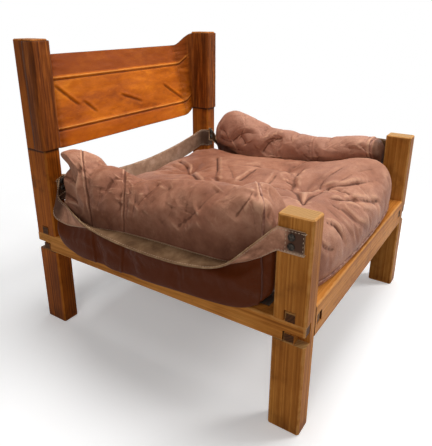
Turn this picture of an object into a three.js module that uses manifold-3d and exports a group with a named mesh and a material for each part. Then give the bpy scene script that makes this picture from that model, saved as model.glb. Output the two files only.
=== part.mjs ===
// A lounge chair with a jointed wooden frame and leather slings. Four square-edged posts carry two
// side rails and two cross rails on through tenons. Webbing between the side rails carries the seat
// cushion, a leather sling between the back posts carries the sitter's back, and a leather strap on
// each side holds an arm cushion that stands on the side rail.
// Millimetres, +Z up. The sitter faces -Y, and the sitter's left is +X. The origin is the middle of
// the chair's footprint on the floor.
import * as THREE from 'three';
import { mergeVertices } from 'three/addons/utils/BufferGeometryUtils.js';
import Module from 'manifold-3d';

const wasm = await Module();
wasm.setup();

// Overall sizes
const overallWidth = 776;
const overallDepth = 792;
const backPostHeight = 774;
const frontPostHeight = 490;
const railUnderside = 220;

// Timber section and joints
const postWidth = 48;
const postDepth = 72;
const sideRailWidth = 72;
const sideRailHeight = 48;
const crossRailDepth = 48;
const crossRailHeight = 72;
const tongueWidth = 24;
const tenonHeight = 24;
const tenonWidth = 24;
const tenonSetback = 24;
const smallTenonWidth = 16;
const smallMortiseWidth = 24;
const tongueSetback = 1.5;
const edgeEase = 2.5;
const fitGap = 0.3;
const cutOverrun = 4;

// Leather sling between the back posts
const slingThickness = 3.5;
const slingReach = 28;
const sleeveBottom = 505;
const sleeveTopClearance = 4;
const panelBottom = 484;
const panelTop = 730;
const panelBottomInset = 13;
const creaseInsetTop = 70;
const creaseInsetBottom = 52;
const innerFaceStop = 10;
const grooveFromBack = 36;
const grooveDepth = 12;
const tuckHeight = 3;
const tuckWidth = 10;

// Leather straps
const strapWidth = 50;
const strapThickness = 3.5;
const armStrapBelowPostTop = 50;
const armStrapBackHeight = 410;
const armStrapLow = 321;
const armStrapFrontInset = 14;
const armStrapReach = 7;
const armStrapCurl = 26;
const armStrapCurlDrop = 51;
const backStrapWidth = 62;
const backStrapBelowArmStrap = 15;
const backStrapSagShare = 0.69;
const backStrapBow = 24;
const backStrapBend = 16;
const backStrapWrap = 6;
const strapEndInset = 24;

// Seat webbing
const webCount = 5;
const webWidth = 50;
const webThickness = 3;
const webBearing = 44;
const webSag = 5;
const tackInset = 22;

// Fasteners
const screwHeadRadius = 7.5;
const screwHeadHeight = 4;
const screwShankRadius = 2.5;
const screwShankLength = 30;
const screwSpacing = 19;
const frontScrewInset = 40;
const backScrewInset = 38;
const tackHeadRadius = 5;
const tackHeadHeight = 1.5;
const tackShankRadius = 1.5;
const tackShankLength = 16;

// Cushions
const seatFrontInset = 6;
const seatBackClearance = 6;
const seatSideGap = 4;
const seatPostGap = 5;
const seatSeamHeight = 30;
const seatBackTop = 362;
const seatFrontTop = 410;
const seatCrown = 12;
const tuftDepth = 22;
const tuftRadius = 60;
const foldHeight = 5;
const foldReach = 130;
const seatFrontBow = 18;
const armHalfThickness = 60;
const rightArmTop = 484;
const leftArmTop = 454;
const armPeak = 36;
const armLean = 18;
const armDroop = 56;
const armFrontClearance = 4;
const armBackClearance = 22;
const cushionGap = 0.6;
const seamDepth = 5;
const seamWidth = 13;

// Counts and tolerances of the meshes
const mergeTolerance = 1e-4;
const strapSteps = 36;
const screwSides = 12;
const tackSides = 8;
const holeSides = 8;

const halfWidth = overallWidth / 2;
const halfDepth = overallDepth / 2;
const sideRailTop = railUnderside + sideRailHeight;
const crossRailTop = railUnderside + crossRailHeight;
const webTop = sideRailTop + fitGap + webThickness;
const tackTop = webTop + fitGap + tackHeadHeight;
const postInnerFace = halfWidth - postWidth;
const backPostFront = halfDepth - postDepth;
const armCentre = halfWidth - sideRailWidth / 2;
const armStrapFrontHeight = frontPostHeight - armStrapBelowPostTop;
const backStrapHeight = armStrapBackHeight - backStrapBelowArmStrap;
// The strap sags over this share of its room above the back rail
const backStrapRoom = backStrapHeight - backStrapWidth / 2 - crossRailTop;
const backStrapSag = backStrapSagShare * backStrapRoom;

// Boxes and solids

// A box between two corners, given in any order.
function boxBetween(a, b) {
  const size = b.clone().sub(a);
  const geometry = new THREE.BoxGeometry(Math.abs(size.x), Math.abs(size.y), Math.abs(size.z));
  const middle = a.clone().add(b).divideScalar(2);
  return geometry.translate(middle.x, middle.y, middle.z);
}

// Turns a closed geometry into a solid that can be cut and joined.
function solidOf(geometry) {
  const bare = geometry.clone();
  bare.deleteAttribute('normal');
  bare.deleteAttribute('uv');
  const merged = mergeVertices(bare, mergeTolerance);
  return new wasm.Manifold(new wasm.Mesh({
    numProp: 3,
    vertProperties: new Float32Array(merged.attributes.position.array),
    triVerts: new Uint32Array(merged.index.array),
  }));
}

// Turns a solid back into a geometry.
function geometryOf(solid) {
  const mesh = solid.getMesh();
  const geometry = new THREE.BufferGeometry();
  geometry.setAttribute('position', new THREE.BufferAttribute(mesh.vertProperties, mesh.numProp));
  geometry.setIndex(new THREE.BufferAttribute(mesh.triVerts, 1));
  return geometry;
}

function cut(geometry, ...tools) {
  return geometryOf(tools.reduce((rest, tool) => rest.subtract(solidOf(tool)), solidOf(geometry)));
}

function join(...geometries) {
  return geometryOf(geometries.map(solidOf).reduce((whole, piece) => whole.add(piece)));
}

// The same piece for the other side of the chair.
function mirrored(geometry) {
  const other = geometry.clone().scale(-1, 1, 1);
  const index = other.index.array.slice();
  for (let i = 0; i < index.length; i += 3) {
    [index[i + 1], index[i + 2]] = [index[i + 2], index[i + 1]];
  }
  return other.setIndex(new THREE.BufferAttribute(index, 1));
}

// A bar along Z from the floor, with all its edges eased.
function easedBar(width, depth, length, endEase) {
  const x = width / 2 - endEase;
  const y = depth / 2 - endEase;
  const outline = new THREE.Shape([
    new THREE.Vector2(x, -y + edgeEase),
    new THREE.Vector2(x, y - edgeEase),
    new THREE.Vector2(x - edgeEase, y),
    new THREE.Vector2(-x + edgeEase, y),
    new THREE.Vector2(-x, y - edgeEase),
    new THREE.Vector2(-x, -y + edgeEase),
    new THREE.Vector2(-x + edgeEase, -y),
    new THREE.Vector2(x - edgeEase, -y),
  ]);
  const geometry = new THREE.ExtrudeGeometry(outline, {
    depth: length - 2 * endEase,
    bevelEnabled: endEase > 0,
    bevelThickness: endEase,
    bevelSize: endEase,
    bevelSegments: 1,
  });
  return geometry.translate(0, 0, endEase);
}

// Places at one right-hand corner: u runs in from the outer face and v runs in from the end face,
// which is the front for end -1 and the back for end 1.
function cornerPoint(end, u, v, z) {
  return new THREE.Vector3(-halfWidth + u, end * (halfDepth - v), z);
}

function cornerBox(end, uRange, vRange, zRange) {
  return boxBetween(
    cornerPoint(end, uRange[0], vRange[0], zRange[0]),
    cornerPoint(end, uRange[1], vRange[1], zRange[1]),
  );
}

// Frame

const upperTenon = [sideRailTop + fitGap, crossRailTop];
const lowerTenon = [railUnderside, railUnderside + tenonHeight - fitGap];
const tenonRange = [tenonSetback, tenonSetback + tenonWidth];

function grown(range, gap) {
  return [range[0] - gap, range[1] + gap];
}

// A right-hand post: the side rail's tongue is housed in its outer half, and the two tenons of the
// cross rail pass through it.
function postGeometry(end, height) {
  const centre = cornerPoint(end, postWidth / 2, postDepth / 2, 0);
  const bar = easedBar(postWidth, postDepth, height, edgeEase).translate(centre.x, centre.y, centre.z);
  const housing = cornerBox(
    end,
    [-cutOverrun, tongueWidth],
    grown([0, postDepth], cutOverrun),
    grown([railUnderside, sideRailTop], fitGap),
  );
  const upperMortise = cornerBox(
    end,
    grown([0, postWidth], cutOverrun),
    grown(tenonRange, fitGap),
    grown(upperTenon, fitGap),
  );
  const lowerMortise = cornerBox(
    end,
    [tongueWidth - cutOverrun, postWidth + cutOverrun],
    grown(tenonRange, fitGap),
    grown(lowerTenon, fitGap),
  );
  return cut(bar, housing, upperMortise, lowerMortise);
}

// What is cut off one end of a side rail, so that a tongue passes outside the post and a small
// tenon passes through the cross rail.
function sideRailCuts(end) {
  const innerEdge = sideRailWidth - smallTenonWidth;
  const clearOfPost = postDepth + fitGap;
  const clearOfCrossRail = crossRailDepth + fitGap;
  const lowered = [railUnderside - cutOverrun, railUnderside + tenonHeight];
  const full = [railUnderside - cutOverrun, sideRailTop + cutOverrun];
  return [
    cornerBox(end, [tongueWidth - fitGap, postWidth + fitGap], [-cutOverrun, clearOfPost], full),
    cornerBox(end, [-cutOverrun, tongueWidth], [-cutOverrun, clearOfCrossRail], lowered),
    cornerBox(end, [postWidth, innerEdge], [-cutOverrun, clearOfCrossRail], full),
    cornerBox(end, [postWidth, sideRailWidth + cutOverrun], [-cutOverrun, clearOfCrossRail], lowered),
  ];
}

function sideRailGeometry() {
  const length = overallDepth - 2 * tongueSetback;
  const bar = easedBar(sideRailHeight, sideRailWidth, length, 0)
    .translate(0, 0, -length / 2)
    .rotateX(Math.PI / 2)
    .rotateY(Math.PI / 2)
    .translate(-halfWidth + sideRailWidth / 2, 0, railUnderside + sideRailHeight / 2);
  return cut(bar, ...sideRailCuts(-1), ...sideRailCuts(1));
}

// A cross rail between two posts, with two through tenons at each end and a mortise for each side
// rail's small tenon.
function crossRailGeometry(end) {
  const shoulder = postWidth + fitGap;
  const length = overallWidth - 2 * shoulder;
  const body = easedBar(crossRailHeight, crossRailDepth, length, 0)
    .translate(0, 0, -length / 2)
    .rotateY(Math.PI / 2)
    .translate(0, end * (halfDepth - crossRailDepth / 2), railUnderside + crossRailHeight / 2);
  const tenons = [upperTenon, lowerTenon].map((range) => cornerBox(
    end,
    [0, shoulder + cutOverrun],
    [tenonRange[0], tenonRange[1] - edgeEase],
    [range[0], range[1] - edgeEase],
  ));
  const innerEdge = sideRailWidth - smallTenonWidth;
  const mortise = cornerBox(
    end,
    [innerEdge - fitGap, innerEdge + smallMortiseWidth],
    grown([0, crossRailDepth], cutOverrun),
    grown([railUnderside + tenonHeight, sideRailTop], fitGap),
  );
  const blank = join(body, ...tenons, ...tenons.map((tenon) => mirrored(tenon)));
  return cut(blank, mortise, mirrored(mortise));
}

// Fasteners

// A round-headed fastener along Z: the head's underside is at z 0 and the shank points down.
function fastenerGeometry(headRadius, headHeight, shankRadius, shankLength, sides) {
  const rimShare = 0.35;
  const shoulderShare = 0.72;
  const tipShare = 0.2;
  return new THREE.LatheGeometry([
    new THREE.Vector2(0, -shankLength),
    new THREE.Vector2(shankRadius, -shankLength * (1 - tipShare)),
    new THREE.Vector2(shankRadius, 0),
    new THREE.Vector2(headRadius, 0),
    new THREE.Vector2(headRadius, headHeight * rimShare),
    new THREE.Vector2(headRadius * shoulderShare, headHeight * (1 - rimShare / 2)),
    new THREE.Vector2(0, headHeight),
  ], sides).rotateX(Math.PI / 2);
}

// The hole that a fastener's shank runs in, along Z.
function holeGeometry(radius, length) {
  return new THREE.CylinderGeometry(radius, radius, length, holeSides).rotateX(Math.PI / 2);
}

// Sheets

// A closed sheet of even thickness about a grid of points. Each row of the grid is a list of places,
// each with its point on the middle surface and its normal.
function sheetGeometry(rows, thickness) {
  const columns = rows[0].length;
  const positions = [];
  for (const side of [1, -1]) {
    for (const row of rows) {
      for (const place of row) {
        const point = place.point.clone().addScaledVector(place.normal, side * thickness / 2);
        positions.push(point.x, point.y, point.z);
      }
    }
  }
  const vertex = (side, i, j) => side * rows.length * columns + i * columns + j;
  const index = [];
  const quad = (a, b, c, d) => index.push(a, c, b, a, d, c);
  for (let i = 0; i < rows.length - 1; i++) {
    for (let j = 0; j < columns - 1; j++) {
      quad(vertex(0, i, j), vertex(0, i + 1, j), vertex(0, i + 1, j + 1), vertex(0, i, j + 1));
      quad(vertex(1, i, j), vertex(1, i, j + 1), vertex(1, i + 1, j + 1), vertex(1, i + 1, j));
    }
  }
  const last = rows.length - 1;
  const end = columns - 1;
  for (let i = 0; i < last; i++) {
    quad(vertex(0, i, 0), vertex(1, i, 0), vertex(1, i + 1, 0), vertex(0, i + 1, 0));
    quad(vertex(0, i, end), vertex(0, i + 1, end), vertex(1, i + 1, end), vertex(1, i, end));
  }
  for (let j = 0; j < end; j++) {
    quad(vertex(0, 0, j), vertex(0, 0, j + 1), vertex(1, 0, j + 1), vertex(1, 0, j));
    quad(vertex(0, last, j), vertex(1, last, j), vertex(1, last, j + 1), vertex(0, last, j + 1));
  }
  const geometry = new THREE.BufferGeometry();
  geometry.setAttribute('position', new THREE.Float32BufferAttribute(positions, 3));
  geometry.setIndex(index);
  return geometry;
}

// A strap along stations, each with its middle point and the direction from its lower edge to its
// upper edge. Both edges are smooth curves through the stations.
function strapGeometry(stations, width, thickness) {
  const edgeCurve = (edge) => new THREE.CatmullRomCurve3(
    stations.map(({ point, across }) => point.clone().addScaledVector(across, edge * width / 2)),
    false,
    'centripetal',
  );
  const edges = [edgeCurve(-1), edgeCurve(1)];
  const rows = [];
  for (let i = 0; i <= strapSteps; i++) {
    const [lower, upper] = edges.map((curve) => curve.getPoint(i / strapSteps));
    const [lowerTangent, upperTangent] = edges.map((curve) => curve.getTangent(i / strapSteps));
    const tangent = lowerTangent.add(upperTangent);
    const normal = upper.clone().sub(lower).cross(tangent).normalize();
    rows.push([lower, upper].map((point) => ({ point, normal })));
  }
  return sheetGeometry(rows, thickness);
}

// Back sling

// The sleeve's course around the right-hand back post, seen from above. Each place has u in from the
// post's outer face, v in from its back face, and the direction of travel in degrees.
function sleeveCourse() {
  const offset = fitGap + slingThickness / 2;
  const around = (u, v, degrees) => {
    const angle = THREE.MathUtils.degToRad(degrees);
    return { u: u - offset * Math.sin(angle), v: v + offset * Math.cos(angle), degrees };
  };
  return [
    { u: grooveDepth - fitGap, v: grooveFromBack, degrees: 180 },
    ...[180, 135, 90].map((degrees) => around(0, grooveFromBack + offset, degrees)),
    ...[90, 45, 0].map((degrees) => around(0, postDepth, degrees)),
    ...[0, -45, -90].map((degrees) => around(postWidth, postDepth, degrees)),
    around(postWidth, (postDepth + innerFaceStop) / 2, -90),
    around(postWidth, innerFaceStop, -90),
  ];
}

// From the sleeve to the crease, from the crease to the middle, and from the bottom to the top.
const flareShares = [0.12, 0.3, 0.55, 0.8, 0.94];
const flareBulgeShare = 0.17;
const panelAcrossShares = [0, 0.06, 0.25, 0.5, 0.75, 1];
const slingRowShares = [0, 0.17, 0.21, 0.25, 0.5, 0.72, 0.757, 0.795, 1];
const slingTuckShares = [0.21, 0.757];

// The middle surface of the right-hand half, one list of places for each height.
function slingHalf() {
  const offset = fitGap + slingThickness / 2;
  const sleeveTop = backPostHeight - sleeveTopClearance;
  const start = { u: postWidth + offset, v: innerFaceStop };
  return slingRowShares.map((rowShare) => {
    const inset = THREE.MathUtils.lerp(creaseInsetBottom, creaseInsetTop, rowShare);
    const back = -slingReach + slingThickness / 2;
    const crease = {
      u: postWidth + inset,
      v: THREE.MathUtils.lerp(panelBottomInset, back, rowShare),
    };
    const height = (panelShare) => THREE.MathUtils.lerp(
      THREE.MathUtils.lerp(sleeveBottom, panelBottom, panelShare),
      THREE.MathUtils.lerp(sleeveTop, panelTop, panelShare),
      rowShare,
    );
    const tuck = Math.max(...slingTuckShares.map((share) => {
      const away = Math.abs(rowShare - share) * (panelTop - panelBottom);
      return Math.max(0, 1 - away / tuckWidth);
    })) * tuckHeight;
    const sleeve = sleeveCourse().map((place) => ({ ...place, rise: height(0), tuck: 0 }));
    const flare = flareShares.map((share) => {
      const eased = THREE.MathUtils.smoothstep(share, 0, 1);
      const bulge = Math.sin(Math.PI * share) * (start.v - crease.v) * flareBulgeShare;
      return {
        u: THREE.MathUtils.lerp(start.u, crease.u, share),
        v: THREE.MathUtils.lerp(start.v, crease.v, share) - bulge,
        degrees: 90 * (Math.sqrt(share) - 1),
        rise: height(eased),
        tuck: tuck * eased,
      };
    });
    const panel = panelAcrossShares.map((share) => ({
      u: THREE.MathUtils.lerp(crease.u, halfWidth, share),
      v: crease.v,
      degrees: 0,
      rise: height(1),
      tuck,
    }));
    return [...sleeve, ...flare, ...panel].map((place) => {
      const angle = THREE.MathUtils.degToRad(place.degrees);
      const point = cornerPoint(1, place.u, place.v + place.tuck, place.rise);
      return { point, normal: new THREE.Vector3(-Math.sin(angle), -Math.cos(angle), 0) };
    });
  });
}

function slingGeometry() {
  const rows = slingHalf().map((half) => {
    const other = half.slice(0, -1).reverse().map((place) => ({
      point: place.point.clone().setX(-place.point.x),
      normal: place.normal.clone().setX(-place.normal.x),
    }));
    return [...half, ...other];
  });
  return sheetGeometry(rows, slingThickness);
}

// The groove in a back post's outer face that takes the sling's edge.
function slingGroove() {
  return cornerBox(
    1,
    [-cutOverrun, grooveDepth],
    grown([grooveFromBack - slingThickness / 2, grooveFromBack + slingThickness / 2], fitGap),
    [sleeveBottom - fitGap, backPostHeight + cutOverrun],
  );
}

// Arm straps

// The free run between the posts. Each row has how far back it is between the post faces, how far
// out its lower edge is, how far down that edge is between its end and its lowest place, and its
// tilt: 1 stands upright and 0 lies flat, with the upper edge outward.
const armStrapShares = [
  [0.005, 0.04, 0.05, 0.96],
  [0.05, 0.3, 0.26, 0.56],
  [0.137, 0.7, 0.53, 0.15],
  [0.26, 1, 0.57, -0.07],
  [0.43, 1, 0.59, -0.13],
  [0.585, 0.9, 0.65, 0.02],
  [0.71, 0.6, 0.78, 0.3],
  [0.79, 0.4, 0.88, 0.58],
  [0.9, 0.2, 1, 1.14],
];

// Where the strap curls in front of the back post. Each row has how far across the post it is, how
// far in front of the post, how far down from the fixed end, and its tilt.
const armStrapCurlShares = [
  [0.23, 0.9, 1, 1.3],
  [0.32, 0.34, 0.5, 1.2],
  [0.42, 0.12, 0.3, 1.13],
  [0.53, 0.012, 0.17, 1.08],
  [0.58, 0, 0.12, 1.06],
];

function tilted(tiltShare) {
  const angle = tiltShare * Math.PI / 2;
  return new THREE.Vector3(-Math.cos(angle), 0, Math.sin(angle));
}

// The middle surface of a strap that lies on a face, with other straps already under it.
function strapOffset(layersUnder) {
  return (layersUnder + 1) * fitGap + (layersUnder + 1 / 2) * strapThickness;
}

function armStrapStations() {
  const outside = -halfWidth - strapOffset(0);
  const face = backPostFront - strapOffset(1);
  const frontFace = -halfDepth + postDepth;
  const run = backPostFront - frontFace;
  const endLowerEdge = armStrapFrontHeight - strapWidth / 2;
  const upright = tilted(1);
  const patchShares = [0, 0.45, 0.86, 0.93];
  const patchStart = -halfDepth + armStrapFrontInset;
  const patch = patchShares.map((share) => ({
    point: new THREE.Vector3(
      outside,
      THREE.MathUtils.lerp(patchStart, frontFace, share),
      armStrapFrontHeight,
    ),
    across: upright,
  }));
  const free = armStrapShares.map(([along, out, drop, tilt]) => ({
    point: new THREE.Vector3(
      outside - out * armStrapReach,
      frontFace + along * run,
      endLowerEdge - drop * (endLowerEdge - armStrapLow),
    ).addScaledVector(tilted(tilt), strapWidth / 2),
    across: tilted(tilt),
  }));
  const curl = armStrapCurlShares.map(([across, out, drop, tilt]) => ({
    point: new THREE.Vector3(
      -halfWidth + across * postWidth,
      face - out * armStrapCurl,
      armStrapBackHeight - drop * armStrapCurlDrop,
    ),
    across: tilted(tilt),
  }));
  const end = {
    point: new THREE.Vector3(-postInnerFace - fitGap, face, armStrapBackHeight),
    across: upright,
  };
  return [...patch, ...free, ...curl, end];
}

// Back strap

// The strap lies on each back post's front face, turns round the post's inner edge and hangs in a
// shallow bow between the posts. The course is seen from above, as the sling's is.
function backStrapHalf() {
  const offset = strapOffset(0);
  const places = [{ u: strapEndInset, v: postDepth + offset, degrees: 0, spanShare: 0 }];
  for (const degrees of [0, -45, -90]) {
    const angle = THREE.MathUtils.degToRad(degrees);
    places.push({
      u: postWidth - offset * Math.sin(angle),
      v: postDepth + offset * Math.cos(angle),
      degrees,
      spanShare: 0,
    });
  }
  const bend = { u: postWidth + offset + backStrapBend, v: postDepth - backStrapWrap };
  for (const degrees of [-90, -60, -30, -10]) {
    const angle = THREE.MathUtils.degToRad(degrees);
    places.push({
      u: bend.u + backStrapBend * Math.sin(angle),
      v: bend.v - backStrapBend * Math.cos(angle),
      degrees,
      spanShare: 0,
    });
  }
  const start = places[places.length - 1];
  for (const share of [0.2, 0.4, 0.6, 0.8, 1]) {
    places.push({
      u: THREE.MathUtils.lerp(start.u, halfWidth, share),
      v: start.v - backStrapBow * share * (2 - share),
      degrees: start.degrees * (1 - share),
      spanShare: share,
    });
  }
  return places;
}

function backStrapGeometry() {
  const half = backStrapHalf().map(({ u, v, degrees, spanShare }) => {
    const angle = THREE.MathUtils.degToRad(degrees);
    const height = backStrapHeight - backStrapSag * spanShare * (2 - spanShare);
    const normal = new THREE.Vector3(-Math.sin(angle), -Math.cos(angle), 0);
    return [1, -1].map((edge) => ({
      point: cornerPoint(1, u, v, height + edge * backStrapWidth / 2),
      normal,
    }));
  });
  const other = half.slice(0, -1).reverse().map((pair) => pair.map(({ point, normal }) => ({
    point: point.clone().setX(-point.x),
    normal: normal.clone().setX(-normal.x),
  })));
  return sheetGeometry([...half, ...other], strapThickness);
}

// Seat webbing

function webMiddle(index) {
  const pitch = (overallDepth - 2 * crossRailDepth) / webCount;
  return (index - (webCount - 1) / 2) * pitch;
}

// One web across the chair: it lies on both side rails and sags a little between them.
function webGeometry() {
  const bearingStart = halfWidth - sideRailWidth;
  const end = bearingStart + webBearing;
  const middle = webTop - webThickness / 2;
  const spanShares = [-1, -0.6, -0.2, 0.2, 0.6, 1];
  const stations = [
    { x: -end, z: middle },
    ...spanShares.map((share) => ({
      x: share * bearingStart,
      z: middle - webSag * (1 - share * share),
    })),
    { x: end, z: middle },
  ];
  const normal = new THREE.Vector3(0, 0, 1);
  return sheetGeometry(stations.map(({ x, z }) => [-1, 1].map((edge) => ({
    point: new THREE.Vector3(x, -edge * webWidth / 2, z),
    normal,
  }))), webThickness);
}

// Cushions

// A closed pillow. Each vertex of a unit box goes out to a rounded box with a radius of 1, by the
// given norm, and shape then places it on the chair.
function pillowGeometry(steps, norm, shape) {
  const unit = new THREE.BoxGeometry(1, 1, 1, steps.x, steps.y, steps.z);
  unit.deleteAttribute('normal');
  unit.deleteAttribute('uv');
  const geometry = mergeVertices(unit, mergeTolerance);
  const position = geometry.attributes.position;
  const point = new THREE.Vector3();
  for (let i = 0; i < position.count; i++) {
    point.fromBufferAttribute(position, i).multiplyScalar(2);
    point.divideScalar(norm(point));
    shape(point);
    position.setXYZ(i, point.x, point.y, point.z);
  }
  return geometry;
}

// The length of a vector where two directions round off by one exponent and the third by another.
function mixedNorm(a, b, c, pairExponent, exponent) {
  const pair = (Math.abs(a) ** pairExponent + Math.abs(b) ** pairExponent) ** (1 / pairExponent);
  return (pair ** exponent + Math.abs(c) ** exponent) ** (1 / exponent);
}

// Where the seat cushion's tufts are, as shares of its half width and half length.
const tuftShares = [
  [0, -0.52],
  [0.5, -0.2],
  [-0.5, -0.2],
];
const foldsPerTuft = 7;
// How square the seat cushion's outline is seen from above, and how square its sides are.
const seatSquareness = { outline: 9, sides: 3.4 };
// Where the cushion widens in front of the arm cushions, as shares of its half length.
const earShares = { start: 0.8, end: 0.92, extra: 0.3 };
const seatDrawShare = 0.012;

function seatCushionGeometry() {
  const narrow = armCentre - armHalfThickness - seatSideGap;
  const wide = postInnerFace - seatPostGap;
  const front = -halfDepth + seatFrontInset;
  const back = backPostFront + backStrapWrap - seatBackClearance + strapThickness;
  const middle = (front + back) / 2;
  const halfLength = (back - front) / 2;
  const bottom = webTop + fitGap;
  const seam = bottom + seatSeamHeight;
  return pillowGeometry(
    { x: 16, y: 18, z: 4 },
    (p) => mixedNorm(p.x, p.y, p.z, seatSquareness.outline, seatSquareness.sides),
    (p) => {
      const { x: s, y: t, z: h } = p;
      const ear = THREE.MathUtils.smoothstep(-t, earShares.start, earShares.end);
      const half = narrow + ear * (wide - narrow + earShares.extra * (halfWidth - wide));
      const x = s * half * (1 - seatDrawShare * (1 - t * t));
      const y = middle + t * halfLength + seatFrontBow * s * s * Math.max(0, -t);
      const top = THREE.MathUtils.lerp(seatFrontTop, seatBackTop, (t + 1) / 2) - seam;
      const rise = h > 0 ? h * top + seatCrown * h * (1 - s * s) * (1 - t * t) : h * seatSeamHeight;
      let dimple = 0;
      for (const [across, along] of tuftShares) {
        const dx = x - across * narrow;
        const dy = y - middle - along * halfLength;
        const away = Math.hypot(dx, dy);
        const pit = Math.exp(-((away / tuftRadius) ** 2));
        const near = Math.exp(-((away / foldReach) ** 2));
        dimple += tuftDepth * pit;
        dimple += foldHeight * Math.cos(foldsPerTuft * Math.atan2(dy, dx)) * near * (1 - pit);
      }
      const pinch = 1 - (seamDepth / narrow) * Math.exp(-((rise / seamWidth) ** 2));
      p.set(x * pinch, y, seam + rise - dimple * Math.max(0, h));
    },
  );
}

// Where the arm cushion's panels are sewn together, as shares of its half length.
const armSeamShares = [-0.92, -0.38, 0.06, 0.5];
// How square the arm cushions' ends are.
const armEndSquareness = 8;
const armBaseNarrowingShare = 0.2;
const armDroopStartShare = 0.5;
// The two arm cushions have settled differently. Each has the height of its top, how square its
// section is, and the peaks of its top: where each peak is, how wide and how high.
const rightArm = {
  top: rightArmTop,
  squareness: 3.8,
  peakShares: [
    { at: 0.85, spread: 0.38, height: 0.5 },
    { at: -0.5, spread: 0.26, height: 0.4 },
    { at: -0.87, spread: 0.15, height: 0.9 },
  ],
};
const leftArm = {
  top: leftArmTop,
  squareness: 2.7,
  peakShares: [
    { at: 0.74, spread: 0.38, height: 1.5 },
    { at: -0.9, spread: 0.3, height: 0.45 },
  ],
};

// An arm cushion as it stands on the right.
function armCushionGeometry(arm) {
  const front = -halfDepth + postDepth + armFrontClearance;
  const back = backPostFront - armBackClearance;
  const middle = (front + back) / 2;
  const halfLength = (back - front) / 2;
  const bottom = tackTop + fitGap;
  return pillowGeometry(
    { x: 4, y: 22, z: 8 },
    (p) => mixedNorm(p.x, p.z, p.y, arm.squareness, armEndSquareness),
    (p) => {
      const { x: s, y: t, z: h } = p;
      const top = arm.peakShares.reduce((height, peak) => (
        height + armPeak * peak.height * Math.exp(-(((t - peak.at) / peak.spread) ** 2))
      ), arm.top);
      const seam = Math.max(...armSeamShares.map((share) => (
        Math.exp(-((((t - share) * halfLength) / seamWidth) ** 2))
      )));
      const narrowing = 1 - armBaseNarrowingShare * Math.max(0, -h) * Math.max(0, Math.sign(s));
      const thickness = armHalfThickness * narrowing - seamDepth * seam;
      const outside = THREE.MathUtils.smoothstep(-s, armDroopStartShare, 1);
      p.set(
        -armCentre + s * thickness + armLean * Math.max(0, h),
        middle + t * halfLength,
        bottom + ((h + 1) / 2) * (top - bottom) - armDroop * outside * Math.max(0, armDroopStartShare - h),
      );
    },
  );
}

// What an arm cushion is hollowed by: the side rail, the tack heads on it and the seat webs.
function armCushionBed() {
  return [
    boxBetween(
      new THREE.Vector3(-halfWidth - fitGap, -halfDepth, railUnderside - cutOverrun),
      new THREE.Vector3(-halfWidth + sideRailWidth + fitGap, halfDepth, sideRailTop + fitGap),
    ),
    boxBetween(
      new THREE.Vector3(-halfWidth + sideRailWidth - webBearing - fitGap, -halfDepth, railUnderside),
      new THREE.Vector3(0, halfDepth, tackTop + fitGap),
    ),
  ];
}

function seatCushionBed() {
  return boxBetween(
    new THREE.Vector3(-halfWidth, -halfDepth - cutOverrun, railUnderside),
    new THREE.Vector3(halfWidth, -halfDepth + crossRailDepth + fitGap, crossRailTop + fitGap),
  );
}

// Where the fasteners are

// The screws of one right-hand post, each at its head's underside, with the turn that faces it out.
function screwPlaces(end) {
  return [-1, 1].map((side) => (end < 0 ? {
    point: new THREE.Vector3(
      -halfWidth - strapOffset(0) - strapThickness / 2 - fitGap,
      -halfDepth + frontScrewInset,
      armStrapFrontHeight + side * screwSpacing / 2,
    ),
    rotation: new THREE.Euler(0, -Math.PI / 2, 0),
  } : {
    point: new THREE.Vector3(
      -halfWidth + backScrewInset,
      backPostFront - strapOffset(1) - strapThickness / 2 - fitGap,
      armStrapBackHeight + side * screwSpacing / 2,
    ),
    rotation: new THREE.Euler(Math.PI / 2, 0, 0),
  }));
}

// The tacks at a web's right-hand end.
function tackPlace(index) {
  return {
    point: new THREE.Vector3(-halfWidth + sideRailWidth - tackInset, webMiddle(index), webTop + fitGap),
    rotation: new THREE.Euler(),
  };
}

function holesFor(places, radius, depth) {
  return places.map(({ point, rotation }) => holeGeometry(radius + fitGap, 2 * (depth + fitGap))
    .applyQuaternion(new THREE.Quaternion().setFromEuler(rotation))
    .translate(point.x, point.y, point.z));
}

// Colours

const frontWood = { color: 0x9c6a38, roughness: 0.55, metalness: 0 };
const backWood = { color: 0x6e4420, roughness: 0.55, metalness: 0 };
const slingLeather = { color: 0xb5642a, roughness: 0.42, metalness: 0 };
const strapLeather = { color: 0x7d6a50, roughness: 0.75, metalness: 0 };
const cushionLeather = { color: 0x96614f, roughness: 0.5, metalness: 0 };
const webbing = { color: 0x6b5a42, roughness: 0.9, metalness: 0 };
const darkMetal = { color: 0x2b2622, roughness: 0.45, metalness: 0.8 };

// The chair

const chair = new THREE.Group();
chair.position.y = -slingReach / 2;

function addPiece(name, geometry, look, place = {}) {
  geometry.computeVertexNormals();
  const mesh = new THREE.Mesh(geometry, new THREE.MeshStandardMaterial(look));
  mesh.name = name;
  if (place.point) mesh.position.copy(place.point);
  if (place.rotation) mesh.rotation.copy(place.rotation);
  chair.add(mesh);
}

// Adds a right-hand piece and its mirror image on the left.
function addPair(name, geometry, look) {
  addPiece(`${name}_right`, geometry, look);
  addPiece(`${name}_left`, mirrored(geometry), look);
}

function mirroredPlace({ point, rotation }) {
  return {
    point: point.clone().setX(-point.x),
    rotation: new THREE.Euler(rotation.x, -rotation.y, rotation.z),
  };
}

const frontScrews = screwPlaces(-1);
const backScrews = screwPlaces(1);
const tacks = Array.from({ length: webCount }, (_, index) => tackPlace(index));
const frontScrewHoles = holesFor(frontScrews, screwShankRadius, screwShankLength);
const backScrewHoles = holesFor(backScrews, screwShankRadius, screwShankLength);
const tackHoles = holesFor(tacks, tackShankRadius, tackShankLength);

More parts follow.
